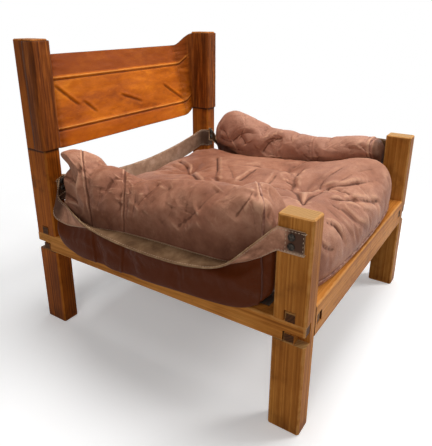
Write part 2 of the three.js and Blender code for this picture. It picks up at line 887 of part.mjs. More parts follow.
addPair('post_front', cut(postGeometry(-1, frontPostHeight), ...frontScrewHoles), frontWood);
addPair('post_back', cut(postGeometry(1, backPostHeight), slingGroove(), ...backScrewHoles), backWood);
addPair('side_rail', cut(sideRailGeometry(), ...tackHoles), frontWood);
addPiece('front_rail', crossRailGeometry(-1), frontWood);
addPiece('back_rail', crossRailGeometry(1), backWood);

for (let index = 0; index < webCount; index++) {
  const place = tacks[index];
  const hole = holesFor([place], tackShankRadius, tackShankLength)[0].translate(0, -place.point.y, 0);
  const web = cut(webGeometry(), hole, mirrored(hole));
  addPiece(`seat_web_${index + 1}`, web, webbing, { point: new THREE.Vector3(0, place.point.y, 0) });
}

addPiece('back_sling', slingGeometry(), slingLeather);

const armStrap = strapGeometry(armStrapStations(), strapWidth, strapThickness);
const armStrapClearance = strapGeometry(
  armStrapStations(),
  strapWidth + 2 * cushionGap,
  strapThickness + 2 * cushionGap,
);
addPair('arm_strap', cut(armStrap, ...frontScrewHoles, ...backScrewHoles), strapLeather);
const leftBackScrewHoles = holesFor(backScrews.map(mirroredPlace), screwShankRadius, screwShankLength);
addPiece('back_strap', cut(backStrapGeometry(), ...backScrewHoles, ...leftBackScrewHoles), strapLeather);

addPiece('seat_cushion', cut(seatCushionGeometry(), seatCushionBed()), cushionLeather);
const armCushion = (arm) => cut(armCushionGeometry(arm), ...armCushionBed(), armStrapClearance);
addPiece('arm_cushion_right', armCushion(rightArm), cushionLeather);
addPiece('arm_cushion_left', mirrored(armCushion(leftArm)), cushionLeather);

function addFasteners(name, places, makeGeometry) {
  places.forEach((place, index) => {
    addPiece(`${name}_right_${index + 1}`, makeGeometry(), darkMetal, place);
    addPiece(`${name}_left_${index + 1}`, makeGeometry(), darkMetal, mirroredPlace(place));
  });
}

const screw = () => fastenerGeometry(
  screwHeadRadius,
  screwHeadHeight,
  screwShankRadius,
  screwShankLength,
  screwSides,
);
const tack = () => fastenerGeometry(
  tackHeadRadius,
  tackHeadHeight,
  tackShankRadius,
  tackShankLength,
  tackSides,
);
addFasteners('screw_front', frontScrews, screw);
addFasteners('screw_back', backScrews, screw);
addFasteners('web_tack', tacks, tack);

export default chair;
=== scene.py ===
import math

import bmesh
import bpy
import numpy as np
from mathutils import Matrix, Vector, noise
from mathutils.bvhtree import BVHTree


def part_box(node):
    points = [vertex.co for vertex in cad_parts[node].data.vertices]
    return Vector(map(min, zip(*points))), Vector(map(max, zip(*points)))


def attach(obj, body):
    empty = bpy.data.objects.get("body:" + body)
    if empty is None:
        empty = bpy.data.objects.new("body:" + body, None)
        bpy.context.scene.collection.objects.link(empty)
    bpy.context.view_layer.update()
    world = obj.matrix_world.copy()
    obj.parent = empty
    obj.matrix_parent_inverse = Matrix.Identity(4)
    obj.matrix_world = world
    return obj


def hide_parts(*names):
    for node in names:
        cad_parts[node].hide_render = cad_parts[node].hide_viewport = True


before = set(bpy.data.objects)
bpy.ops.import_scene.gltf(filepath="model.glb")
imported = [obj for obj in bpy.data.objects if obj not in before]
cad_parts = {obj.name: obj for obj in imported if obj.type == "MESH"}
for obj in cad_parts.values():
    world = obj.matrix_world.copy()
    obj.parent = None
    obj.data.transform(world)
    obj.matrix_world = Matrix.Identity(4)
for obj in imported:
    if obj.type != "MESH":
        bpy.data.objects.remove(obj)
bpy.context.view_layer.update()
scene = bpy.context.scene
print("frame loaded:", len(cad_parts), "nodes")


# Small helpers


def srgb(red, green, blue):
    # a colour as seen in a photo, 0 to 255, for a shader socket
    shares = [channel / 255 for channel in (red, green, blue)]
    return (*(c / 12.92 if c <= 0.04045 else ((c + 0.055) / 1.055) ** 2.4 for c in shares), 1.0)


def smoothStep(low, high, value):
    t = np.clip((np.asarray(value, float) - low) / (high - low), 0, 1)
    return t * t * (3 - 2 * t)


def bell(away, width):
    # 1 in the middle, fading to 0 on both sides
    return np.exp(-((away / width) ** 2))


def meshObject(name, points, faces, smooth=True):
    mesh = bpy.data.meshes.new(name)
    mesh.from_pydata([tuple(p) for p in points], [], [tuple(f) for f in faces])
    mesh.update()
    for polygon in mesh.polygons:
        polygon.use_smooth = smooth
    made = bpy.data.objects.new(name, mesh)
    scene.collection.objects.link(made)
    return made


def vectorsOf(thing, key):
    flat = np.zeros(len(thing.data.vertices) * 3, np.float32)
    thing.data.vertices.foreach_get(key, flat)
    return flat.reshape(-1, 3).astype(float)


def pointsOf(thing):
    return vectorsOf(thing, "co")


def normalsOf(thing):
    return vectorsOf(thing, "normal")


def setPoints(thing, points):
    thing.data.vertices.foreach_set("co", np.asarray(points, np.float32).ravel())
    thing.data.update()


def applyModifiers(thing):
    graph = bpy.context.evaluated_depsgraph_get()
    graph.update()
    made = bpy.data.meshes.new_from_object(thing.evaluated_get(graph))
    thing.modifiers.clear()
    old = thing.data
    thing.data = made
    bpy.data.meshes.remove(old)
    made.name = thing.name


def dress(thing, *finishes):
    thing.data.materials.clear()
    for finish in finishes:
        thing.data.materials.append(finish)


def declare(slotName, cadName, *pieces):
    # the pieces ride on the one body, and the CAD piece that they take the place of is hidden. slotName is
    # not used
    for piece in pieces:
        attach(piece, "root")
    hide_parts(cadName)


# Shader building


class Value:
    # one output of a node; sums on it add Math nodes to the same finish
    def __init__(self, finish, socket):
        self.finish = finish
        self.socket = socket

    def __add__(self, other):
        return self.finish.maths("ADD", self, other)

    def __sub__(self, other):
        return self.finish.maths("SUBTRACT", self, other)

    def __rsub__(self, other):
        return self.finish.maths("SUBTRACT", other, self)

    def __mul__(self, other):
        return self.finish.maths("MULTIPLY", self, other)

    def __truediv__(self, other):
        return self.finish.maths("DIVIDE", self, other)

    def __pow__(self, other):
        return self.finish.maths("POWER", self, other)

    __radd__ = __add__
    __rmul__ = __mul__

    def between(self, low, high, fromValue=0.0, toValue=1.0):
        # a smooth step from fromValue at low to toValue at high
        settings = {"interpolation_type": "SMOOTHSTEP"}
        return self.finish.node("ShaderNodeMapRange", settings, [self, low, high, fromValue, toValue])

    def falling(self, low, high):
        # 1 below low and 0 above high
        return self.between(low, high, 1.0, 0.0)

    def band(self, rise, full, ebb, end):
        # comes up from rise to full and goes down from ebb to end
        return self.between(rise, full) * self.falling(ebb, end)


class Finish:
    # one material and the nodes in it
    def __init__(self, name, tree=None):
        if tree is None:
            self.material = bpy.data.materials.new(name)
            self.material.use_nodes = True
            tree = self.material.node_tree
        self.tree = tree
        self.tree.nodes.clear()
        self.place = self.node("ShaderNodeTexCoord", output="Object")

    def node(self, kind, settings=None, sockets=(), output=0):
        made = self.tree.nodes.new(kind)
        for key, value in (settings or {}).items():
            if key == "stops":
                ramp = made.color_ramp
                while len(ramp.elements) < len(value):
                    ramp.elements.new(0.5)
                for element, (position, colour) in zip(ramp.elements, value):
                    element.position = position
                    element.color = colour
            else:
                setattr(made, key, value)
        for key, value in sockets.items() if isinstance(sockets, dict) else enumerate(sockets):
            if isinstance(value, Value):
                self.tree.links.new(value.socket, made.inputs[key])
            elif value is not None:
                made.inputs[key].default_value = value
        return Value(self, made.outputs[output]) if made.outputs else None

    def maths(self, operation, *values):
        return self.node("ShaderNodeMath", {"operation": operation}, values)

    def vectorMaths(self, operation, *vectors, output=0):
        return self.node("ShaderNodeVectorMath", {"operation": operation}, vectors, output)

    def stretched(self, scale, vector=None):
        return self.vectorMaths("MULTIPLY", vector or self.place, scale)

    def shifted(self, vector, offset):
        return self.vectorMaths("ADD", vector, offset)

    def noise(self, scale, vector=None, detail=3.0, roughness=0.5, output=0):
        sockets = {"Vector": vector or self.place, "Scale": scale, "Detail": detail, "Roughness": roughness}
        return self.node("ShaderNodeTexNoise", {}, sockets, output)

    def cells(self, scale, vector=None):
        # how far a point is from the walls between cells
        sockets = {"Vector": vector or self.place, "Scale": scale}
        return self.node("ShaderNodeTexVoronoi", {"feature": "DISTANCE_TO_EDGE"}, sockets)

    def warped(self, amount, scale, vector=None):
        # the place, pushed about by noise
        vector = vector or self.place
        centred = self.shifted(self.noise(scale, vector, 2.0, output=1), (-0.5, -0.5, -0.5))
        return self.shifted(vector, self.stretched((amount, amount, amount), centred))

    def mixed(self, share, first, second):
        settings = {"data_type": "RGBA", "clamp_factor": True}
        return self.node("ShaderNodeMix", settings, {0: share, 6: first, 7: second}, 2)

    def ramp(self, value, stops, shade=1.0):
        # each stop is a place from 0 to 1 and a colour as seen in a photo
        lit = []
        for at, *colour in stops:
            lit.append((at, (*(part * shade for part in srgb(*colour)[:3]), 1)))
        return self.node("ShaderNodeValToRGB", {"stops": lit}, [value])

    def attribute(self, name):
        return self.node("ShaderNodeAttribute", {"attribute_name": name}, output="Fac")

    def bump(self, height, distance, strength, normal=None):
        sockets = {"Height": height, "Distance": distance, "Strength": strength, "Normal": normal}
        return self.node("ShaderNodeBump", {}, sockets)

    def done(self, colour, roughness, normal, specular=None, metallic=None):
        sockets = {"Base Color": colour, "Roughness": roughness, "Normal": normal}
        sockets.update({"Specular IOR Level": specular, "Metallic": metallic})
        shader = self.node("ShaderNodeBsdfPrincipled", {}, sockets)
        self.node("ShaderNodeOutputMaterial", {}, {"Surface": shader})
        return self.material


# Finishes


def woodFinish(name, look):
    # look is one of the timber pieces below, with the corners of its box
    f = Finish(name)
    axes = [f.node("ShaderNodeSeparateXYZ", {}, [f.place], axis) for axis in range(3)]
    firstAxis, secondAxis = [axes[i] for i in range(3) if i != look["along"]]

    def grainPlace(across, lengthwise):
        stretch = [across, across, across]
        stretch[look["along"]] = lengthwise
        return f.shifted(f.stretched(tuple(stretch)), look["offset"])

    wander = f.noise(1.0, grainPlace(9.0, 0.9), 2.0) - 0.5
    fineWander = f.noise(1.0, grainPlace(70.0, 4.0), 2.0) - 0.5
    across = firstAxis - look["heart"][0]
    upward = secondAxis - look["heart"][1]
    radius = (across * across + upward * upward) ** 0.5 + wander * look["wander"] + fineWander * 0.0018
    rings = radius / look["ringWidth"]
    ring = f.maths("FRACT", rings)
    late = ring.band(0.3, 0.9, 0.92, 1.0)
    ringTone = f.noise(1.0, f.node("ShaderNodeCombineXYZ", {}, [rings * 0.37, 0.0, 0.0]), 1.0)
    pores = f.noise(1.0, grainPlace(1500.0, 26.0), 2.0, 0.6)
    streaks = f.noise(1.0, grainPlace(260.0, 3.0), 3.0, 0.6)
    broad = f.noise(1.0, grainPlace(34.0, 1.6), 2.0, 0.5)
    cloud = f.noise(1.0, grainPlace(9.0, 4.0), 4.0, 0.6)
    tone = (
        late * ringTone.between(0.35, 0.65) * 0.22
        + streaks.between(0.3, 0.72) * 0.26
        + broad.between(0.3, 0.7) * 0.2
        + cloud.between(0.28, 0.72) * 0.36
    )
    colour = f.ramp(tone, look["tones"], look.get("shade", 1.0))
    colour = f.mixed(pores.between(0.54, 0.68) * 0.4, colour, look["pore"])
    # grime from handling, and darker places where water stood
    blotch = f.noise(13.0, None, 4.0, 0.62).between(0.54, 0.72) * look["grime"]
    colour = f.mixed(blotch, colour, look["grimeColour"])
    foot = axes[2].falling(0.0, 0.05) * f.noise(30.0).between(0.35, 0.6) * 0.6
    colour = f.mixed(foot, colour, look["grimeColour"])
    if "sleeveEnd" in look:
        # painted shadow: a dark line on the post just below the sling's sleeve
        line = (axes[2] - look["sleeveEnd"]).band(-0.0075, -0.0025, 0.0, 0.002)
        colour = f.mixed(line * 0.85, colour, srgb(34, 18, 8))
    # end grain
    normal = f.node("ShaderNodeNewGeometry", output="Normal")
    grainAxis = tuple(1.0 if i == look["along"] else 0.0 for i in range(3))
    facing = f.vectorMaths("DOT_PRODUCT", normal, grainAxis, output="Value")
    end = f.maths("ABSOLUTE", facing).between(0.6, 0.85)
    endGrain = f.mixed(late * 0.5 + pores.between(0.4, 0.7) * 0.5, look["endLight"], look["endDark"])
    colour = f.mixed(end, colour, endGrain)
    # worn edges: how near the point is to the second nearest face of the piece's box
    low, high = look["box"]
    gaps = []
    for axis in range(3):
        middle, half = (low[axis] + high[axis]) / 2, (high[axis] - low[axis]) / 2
        gaps.append(half - f.maths("ABSOLUTE", axes[axis] - middle))
    least = f.maths("MINIMUM", *gaps[:2])
    most = f.maths("MAXIMUM", *gaps[:2])
    edgeGap = f.maths("MINIMUM", most, f.maths("MAXIMUM", least, gaps[2]))
    chafe = f.noise(45.0, None, 3.0, 0.6)
    worn = (edgeGap - chafe * 0.009).falling(-0.003, 0.0015) * look["wear"]
    colour = f.mixed(worn, colour, look["wornColour"])
    dents = f.noise(55.0, None, 4.0, 0.65).between(0.62, 0.8)
    rough = look["roughness"] + cloud * 0.14 + worn * 0.1 + dents * 0.1
    height = late * 0.2 + pores * -0.3 + streaks * 0.15 - dents * 0.5
    return f.done(colour, rough, f.bump(height, 0.0007, 0.5), specular=0.06)


goldenTones = [
    (0.15, 209, 141, 68),
    (0.40, 189, 121, 52),
    (0.62, 163, 97, 36),
    (0.90, 122, 68, 23),
]
brownTones = [
    (0.15, 186, 103, 29),
    (0.40, 157, 81, 20),
    (0.62, 124, 61, 14),
    (0.90, 74, 36, 7),
]
goldenWood = {
    "tones": goldenTones,
    "pore": srgb(98, 52, 16),
    "grime": 0.45,
    "grimeColour": srgb(102, 56, 20),
    "endLight": srgb(182, 140, 88),
    "endDark": srgb(146, 104, 58),
    "wear": 0.5,
    "wornColour": srgb(220, 160, 92),
    "roughness": 0.42,
    "ringWidth": 0.0062,
    "wander": 0.03,
}
brownWood = {
    "tones": brownTones,
    "pore": srgb(64, 30, 6),
    "grime": 0.55,
    "grimeColour": srgb(64, 32, 7),
    "endLight": srgb(150, 102, 64),
    "endDark": srgb(108, 68, 40),
    "wear": 0.4,
    "wornColour": srgb(191, 119, 46),
    "roughness": 0.40,
    "ringWidth": 0.0066,
    "wander": 0.034,
}
darkEnds = {"endLight": srgb(88, 52, 26), "endDark": srgb(44, 25, 13)}


def timber(base, along, heart, offset, **more):
    # along is the grain's axis, heart the middle of the rings across it, offset the place in the noise
    return {**base, "along": along, "heart": heart, "offset": offset, **more}


# shade darkens a piece's wood: a darker tone on the far front post, and painted shade on the near front post
timberPieces = {
    "post_front_right": timber(goldenWood, 2, (-0.33, -0.30), (0.3, 0.1, 0.7), shade=0.93),
    "post_front_left": timber(goldenWood, 2, (0.45, -0.33), (1.3, 2.1, 0.2), shade=0.7),
    "post_back_right": timber(brownWood, 2, (-0.31, 0.29), (2.3, 0.4, 1.7), sleeveEnd=0.505),
    "post_back_left": timber(brownWood, 2, (0.30, 0.36), (3.1, 1.1, 2.9), sleeveEnd=0.505),
    "side_rail_right": timber(goldenWood, 1, (-0.31, 0.20), (4.4, 1.9, 0.4), **darkEnds),
    "side_rail_left": timber(goldenWood, 1, (0.31, 0.30), (0.8, 3.3, 1.4), **darkEnds),
    "front_rail": timber(goldenWood, 0, (-0.33, 0.31), (1.9, 0.2, 3.7), **darkEnds),
    "back_rail": timber(brownWood, 0, (0.33, 0.18), (2.2, 1.4, 0.9), **darkEnds),
}
timberEdges = {"weld": 1e-5, "width": 0.0012, "segments": 2, "angle": 35}


def dressTimber():
    for name, look in timberPieces.items():
        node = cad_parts[name]
        dress(node, woodFinish(f"{name}_wood", {**look, "box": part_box(name)}))
        weld = node.modifiers.new("weld", "WELD")
        weld.merge_threshold = timberEdges["weld"]
        bevel = node.modifiers.new("edges", "BEVEL")
        bevel.width = timberEdges["width"]
        bevel.segments = timberEdges["segments"]
        bevel.limit_method = "ANGLE"
        bevel.angle_limit = math.radians(timberEdges["angle"])
        bevel.harden_normals = False
    print("timber dressed:", len(timberPieces))


dressTimber()

# Camera

cameraSettings = {
    "place": (-1.1199, -0.6837, 0.8213),
    "azimuth": -56.237,
    "elevation": 19.977,
    "lens": 38.58,
    "sensor": 36.0,
    "shift": (0.0098, -0.0710),
}
photoSize = (432, 446)


def makeCamera():
    data = bpy.data.cameras.new("camera")
    data.lens = cameraSettings["lens"]
    data.sensor_width = cameraSettings["sensor"]
    data.sensor_fit = "AUTO"
    data.shift_x, data.shift_y = cameraSettings["shift"]
    data.clip_start = 0.01
    data.clip_end = 100
    camera = bpy.data.objects.new("camera", data)
    scene.collection.objects.link(camera)
    azimuth = math.radians(cameraSettings["azimuth"])
    elevation = math.radians(cameraSettings["elevation"])
    back = Vector((
        math.sin(azimuth) * math.cos(elevation),
        -math.cos(azimuth) * math.cos(elevation),
        math.sin(elevation),
    ))
    camera.location = cameraSettings["place"]
    camera.rotation_euler = (-back).to_track_quat("-Z", "Y").to_euler()
    scene.camera = camera
    return camera.rotation_euler.to_matrix()


cameraTurn = makeCamera()


def sightLine(across, down):
    # the direction in which a place in the photo, in pixels from its top left corner, is seen
    longSide = max(photoSize)
    x = (across - photoSize[0] / 2) / longSide + cameraSettings["shift"][0]
    y = (photoSize[1] / 2 - down) / longSide + cameraSettings["shift"][1]
    reach = cameraSettings["lens"] / cameraSettings["sensor"]
    return (cameraTurn @ Vector((x, y, -reach))).normalized()


# Sheets and straps


def splineAt(points, places):
    # points on a smooth curve through the given ones; place 2.5 is halfway from the third to the fourth
    knots = np.asarray(points, float)
    places = np.asarray(places, float)
    gaps = np.sqrt(np.linalg.norm(np.diff(knots, axis=0), axis=1)) + 1e-9
    times = np.concatenate([[0], np.cumsum(gaps)])
    slopes = np.gradient(knots, times, axis=0)
    index = np.clip(places.astype(int), 0, len(knots) - 2)
    s = (places - index)[:, None]
    gap = gaps[index][:, None]
    return (
        (2 * s**3 - 3 * s**2 + 1) * knots[index]
        + (s**3 - 2 * s**2 + s) * gap * slopes[index]
        + (3 * s**2 - 2 * s**3) * knots[index + 1]
        + (s**3 - s**2) * gap * slopes[index + 1]
    )


def lengthsAlong(points):
    # how far along a path each of its points is
    return np.concatenate([[0], np.cumsum(np.linalg.norm(np.diff(points, axis=0), axis=1))])


def evenPath(points, count):
    # the same path with evenly spaced points
    points = np.asarray(points, float)
    lengths = lengthsAlong(points)
    wanted = np.linspace(0, lengths[-1], count)
    return np.stack([np.interp(wanted, lengths, points[:, i]) for i in range(3)], axis=1)


def mirrored(half):
    # a path that ends in the middle, carried on to the other side
    return np.concatenate([half, half[-2::-1] * (-1, 1, 1)])


def softenedRing(path):
    # evens out a closed path
    for _ in range(3):
        path = path * 0.5 + (np.roll(path, 1, axis=0) + np.roll(path, -1, axis=0)) * 0.25
    return path


def unit(vectors):
    return vectors / np.maximum(np.linalg.norm(vectors, axis=-1, keepdims=True), 1e-12)


def gridNormals(grid):
    return unit(np.cross(np.gradient(grid, axis=0), np.gradient(grid, axis=1)))


def setAttribute(thing, name, values):
    layer = thing.data.attributes.new(name, "FLOAT", "POINT")
    layer.data.foreach_set("value", np.asarray(values, np.float32).ravel())


def ringOf(values):
    # what a grid holds round its rim
    return np.concatenate([values[0], values[1:, -1], values[-1, -2::-1], values[-2:0:-1, 0]])


def setSheetAttribute(sheet, name, values):
    setAttribute(sheet, name, np.concatenate([values.ravel(), values.ravel(), ringOf(values)]))


def sheetMesh(name, grid, thickness, shift=None):
    # a closed sheet with rounded edges about a grid of middle points; material 0 is the face that the
    # normal leaves, 1 the other face and 2 the cut edge
    rows, columns = grid.shape[:2]
    normal = gridNormals(grid)
    inward = np.zeros_like(grid)
    ease = thickness * 0.3
    inward[0] += unit(grid[1] - grid[0]) * ease
    inward[-1] += unit(grid[-2] - grid[-1]) * ease
    inward[:, 0] += unit(grid[:, 1] - grid[:, 0]) * ease
    inward[:, -1] += unit(grid[:, -2] - grid[:, -1]) * ease
    middle = grid if shift is None else grid + normal * shift[..., None]
    front = middle + normal * thickness / 2 + inward
    back = middle - normal * thickness / 2 + inward
    points = np.concatenate([front.reshape(-1, 3), back.reshape(-1, 3), ringOf(middle)])
    size = rows * columns
    faces, kinds = [], []
    for i in range(rows - 1):
        for j in range(columns - 1):
            a = i * columns + j
            faces.append((a, a + columns, a + columns + 1, a + 1))
            faces.append((size + a, size + a + 1, size + a + columns + 1, size + a + columns))
            kinds += [0, 1]
    ring = ringOf(np.arange(size).reshape(rows, columns)).tolist()
    for k, a in enumerate(ring):
        m = (k + 1) % len(ring)
        faces.append((a, ring[m], 2 * size + m, 2 * size + k))
        faces.append((2 * size + k, 2 * size + m, size + ring[m], size + a))
        kinds += [2, 2]
    made = meshObject(name, points, faces)
    made.data.polygons.foreach_set("material_index", kinds)
    spans, runs = np.meshgrid(lengthsAlong(grid[rows // 2]), lengthsAlong(grid[:, columns // 2]))
    setSheetAttribute(made, "run", runs)
    setSheetAttribute(made, "span", spans)
    fixNormals(made)
    return made


def fixNormals(thing):
    work = bmesh.new()
    work.from_mesh(thing.data)
    bmesh.ops.recalc_face_normals(work, faces=work.faces)
    work.to_mesh(thing.data)
    work.free()


def tube(name, path, radius):
    # a round cord of leather, such as piping, round a closed path
    sides, count = 10, len(path)
    ways = unit(np.roll(path, -1, axis=0) - np.roll(path, 1, axis=0))
    turn = Vector(ways[0]).orthogonal().normalized()
    points, faces = [], []
    for i, (point, way) in enumerate(zip(path, ways)):
        way = Vector(way)
        turn = (turn - way * turn.dot(way)).normalized()
        other = way.cross(turn)
        following = (i + 1) % count
        for k in range(sides):
            angle = 2 * math.pi * k / sides
            points.append(Vector(point) + (turn * math.cos(angle) + other * math.sin(angle)) * radius)
            m = (k + 1) % sides
            faces.append((i * sides + k, i * sides + m, following * sides + m, following * sides + k))
    made = meshObject(name, points, faces)
    fixNormals(made)
    return made


def stitches(name, lines, length, radius, pitch):
    # one mesh of sewn stitches; each line is a path and the direction that faces out along it
    rings, sides = 5, 6
    template = []
    for i in range(rings):
        angle = math.pi * i / (rings - 1)
        for k in range(sides):
            turn = 2 * math.pi * k / sides
            template.append((
                -math.cos(angle) * length / 2,
                math.sin(angle) * math.cos(turn) * radius,
                math.sin(angle) * math.sin(turn) * radius * 0.7,
            ))
    template = np.array(template)
    pattern = []
    for i in range(rings - 1):
        for k in range(sides):
            m = (k + 1) % sides
            pattern.append((i * sides + k, i * sides + m, (i + 1) * sides + m, (i + 1) * sides + k))
    pattern = np.array(pattern)
    points, faces = [], []
    for path, facing in lines:
        total = np.linalg.norm(np.diff(path, axis=0), axis=1).sum()
        count = max(3, int(total / pitch))
        spots = evenPath(path, count)
        outs = unit(evenPath(facing, count))
        ways = unit(np.gradient(spots, axis=0))
        sideways = unit(np.cross(outs, ways))
        outs = np.cross(ways, sideways)
        for spot, way, side, out in zip(spots, ways, sideways, outs):
            faces.append(pattern + len(points) * len(template))
            points.append(spot + template @ np.array([way, side, out]))
    made = meshObject(name, np.concatenate(points), np.concatenate(faces))
    fixNormals(made)
    return made


# Back sling

# half the frame each way, how far it stands forward of the middle, and the posts' section
halfWidth, halfDepth, rowShift = 0.388, 0.396, -0.014
postWide, postDeep = 0.048, 0.072
slingSettings = {
    "thickness": 0.0035,
    "gap": 0.0003,
    "groove": (0.012, 0.036),
    "sleeve": (0.505, 0.770),
    "panel": (0.484, 0.730),
    "inset": (0.052, 0.070),
    "reach": (0.013, -0.02625),
    "innerStop": 0.010,
    "bulge": 0.17,
    "creaseDepth": 0.0022,
    "waves": (0.0045, 0.0011),
    "wrinkles": 0.0018,
    "slack": 0.0006,
    "ridges": (0.21, 0.750),
    "ridgeHeight": 0.0024,
    "ridgeWidth": 0.0032,
    "rows": 96,
    "columns": 150,
}


def smoothNoise(points, scale, seed=0.0):
    # gentle unevenness, from -1 to 1
    return np.array([noise.noise(Vector(p) * scale + Vector((seed, seed * 1.7, -seed))) for p in points])


def slingCourse(rowShare):
    # the right half at one height, seen from above: in from the outer face, in from the back face, height
    s = slingSettings
    offset = s["gap"] + s["thickness"] / 2
    grooveIn, grooveBack = s["groove"]

    def around(u, v, start):
        # a quarter turn round a corner
        turns = [math.radians(start - 90 * k / 5) for k in range(6)]
        return [(u - offset * math.sin(a), v + offset * math.cos(a)) for a in turns]

    course = [(grooveIn - s["gap"], grooveBack), (grooveIn / 2, grooveBack)]
    course += around(0, grooveBack + offset, 180) + around(0, postDeep, 90) + around(postWide, postDeep, 0)
    start = (postWide + offset, s["innerStop"])
    course += [(start[0], (postDeep + start[1]) / 2), start]
    sleeveCount = len(course)
    low, high = s["inset"]
    nearReach, farReach = s["reach"]
    crease = (postWide + low + (high - low) * rowShare, nearReach + (farReach - nearReach) * rowShare)
    for share in np.linspace(0.08, 1, 12):
        bulge = math.sin(math.pi * share) * (start[1] - crease[1]) * s["bulge"]
        u = start[0] + (crease[0] - start[0]) * share
        v = start[1] + (crease[1] - start[1]) * share - bulge
        course.append((u, v))
    flareCount = len(course) - sleeveCount
    course += [(crease[0] + (halfWidth - crease[0]) * share, crease[1]) for share in np.linspace(0.05, 1, 14)]
    heights = []
    for k in range(len(course)):
        share = smoothStep(sleeveCount - 1, sleeveCount + flareCount - 1, k)
        ends = [s["sleeve"][i] + (s["panel"][i] - s["sleeve"][i]) * share for i in range(2)]
        heights.append(ends[0] + (ends[1] - ends[0]) * rowShare)
    points = [(-halfWidth + u, halfDepth - v + rowShift, z) for (u, v), z in zip(course, heights)]
    return np.array(points), sleeveCount, flareCount


# creases and dents of the panel: from, to, as across and height, and how deep
slingDents = [
    ((-0.266, 0.644), (-0.200, 0.589), 0.0030),
    ((-0.177, 0.594), (-0.142, 0.563), 0.0024),
    ((-0.025, 0.595), (0.056, 0.565), 0.0024),
    ((0.188, 0.602), (0.278, 0.543), 0.0030),
]


def makeSling():
    s = slingSettings
    rows, ribs, flares = [], [], []
    shares = np.linspace(0, 1, s["rows"])
    for rowShare in shares:
        half, sleeveCount, flareCount = slingCourse(rowShare)
        full = mirrored(half)
        lengths = lengthsAlong(full)
        wanted = np.linspace(0, lengths[-1], 2 * s["columns"] + 1)
        rows.append(evenPath(full, len(wanted)))
        sleeveEnd, creaseAt = lengths[sleeveCount - 1], lengths[sleeveCount + flareCount - 1]
        nearEdge = np.minimum(wanted, lengths[-1] - wanted)
        ribs.append(smoothStep(sleeveEnd, creaseAt, nearEdge))
        flares.append(nearEdge - creaseAt)
    grid = np.array(rows)
    panel = np.array(ribs)
    pastCrease = np.array(flares)
    # soften the courses' corners a little
    for _ in range(3):
        grid[:, 1:-1] = grid[:, 1:-1] * 0.5 + (grid[:, :-2] + grid[:, 2:]) * 0.25
    x, z = grid[..., 0], grid[..., 2]
    shift = np.zeros(grid.shape[:2])
    heightShare = shares[:, None] + 0 * x
    span = s["panel"][1] - s["panel"][0]
    for ridge in s["ridges"]:
        away = (heightShare - ridge) * span
        fold = bell(away, s["ridgeWidth"]) - 0.8 * bell(away + 0.0062, 0.0026)
        shift += fold * s["ridgeHeight"] * smoothStep(0.15, 0.6, panel)
    shift -= s["creaseDepth"] * bell(pastCrease, 0.006)
    flat = grid.reshape(-1, 3)
    slow = smoothNoise(flat, 7.0, 3.1).reshape(shift.shape)
    mid = smoothNoise(flat * (1, 1, 2.2), 22.0, 8.3).reshape(shift.shape)
    shift += panel * (slow * s["waves"][0] + mid * s["waves"][1])
    # wrinkles that run across the flares, and slack in the sleeves
    flareShare = smoothStep(0.03, 0.3, panel) * (1 - smoothStep(-0.004, 0.03, pastCrease))
    fine = smoothNoise(flat * (0.4, 0.4, 1.6), 60.0, 4.4).reshape(shift.shape)
    shift += flareShare * fine * s["wrinkles"]
    sleeveShare = 1 - smoothStep(0.0, 0.12, panel)
    shift += sleeveShare * (s["gap"] + s["slack"] * np.abs(mid))
    dents = np.zeros(grid.shape[:2])
    for (x0, z0), (x1, z1), depth in slingDents:
        way = np.array([x1 - x0, z1 - z0])
        length = np.linalg.norm(way)
        way = way / length
        along = (x - x0) * way[0] + (z - z0) * way[1]
        off = (x - x0) * -way[1] + (z - z0) * way[0]
        ends = smoothStep(-0.012, 0.01, along) * (1 - smoothStep(length - 0.01, length + 0.012, along))
        shift += panel * ends * depth * (0.6 * bell(off - 0.006, 0.005) - bell(off, 0.0042))
        dents = np.maximum(dents, panel * ends * bell(off, 0.0030))
    # the normal of this grid points to the back, so the shift turns round
    facing = gridNormals(grid)[len(grid) // 2, grid.shape[1] // 2, 1]
    made = sheetMesh("back_sling_leather", grid, s["thickness"], shift * (-1 if facing > 0 else 1))
    # where the sleeve goes into the post's groove, for the painted shade there
    tucked = np.broadcast_to(1 - smoothStep(0.016, 0.024, nearEdge), shift.shape)
    marks = {"panel": panel, "rise": heightShare, "flare": flareShare, "dent": dents, "tucked": tucked}
    for key, values in marks.items():
        setSheetAttribute(made, key, values)
    declare("sling_leather", "back_sling", made)
    return made


sling = makeSling()
print("sling made:", len(sling.data.vertices), "points")

# Arm straps and back strap

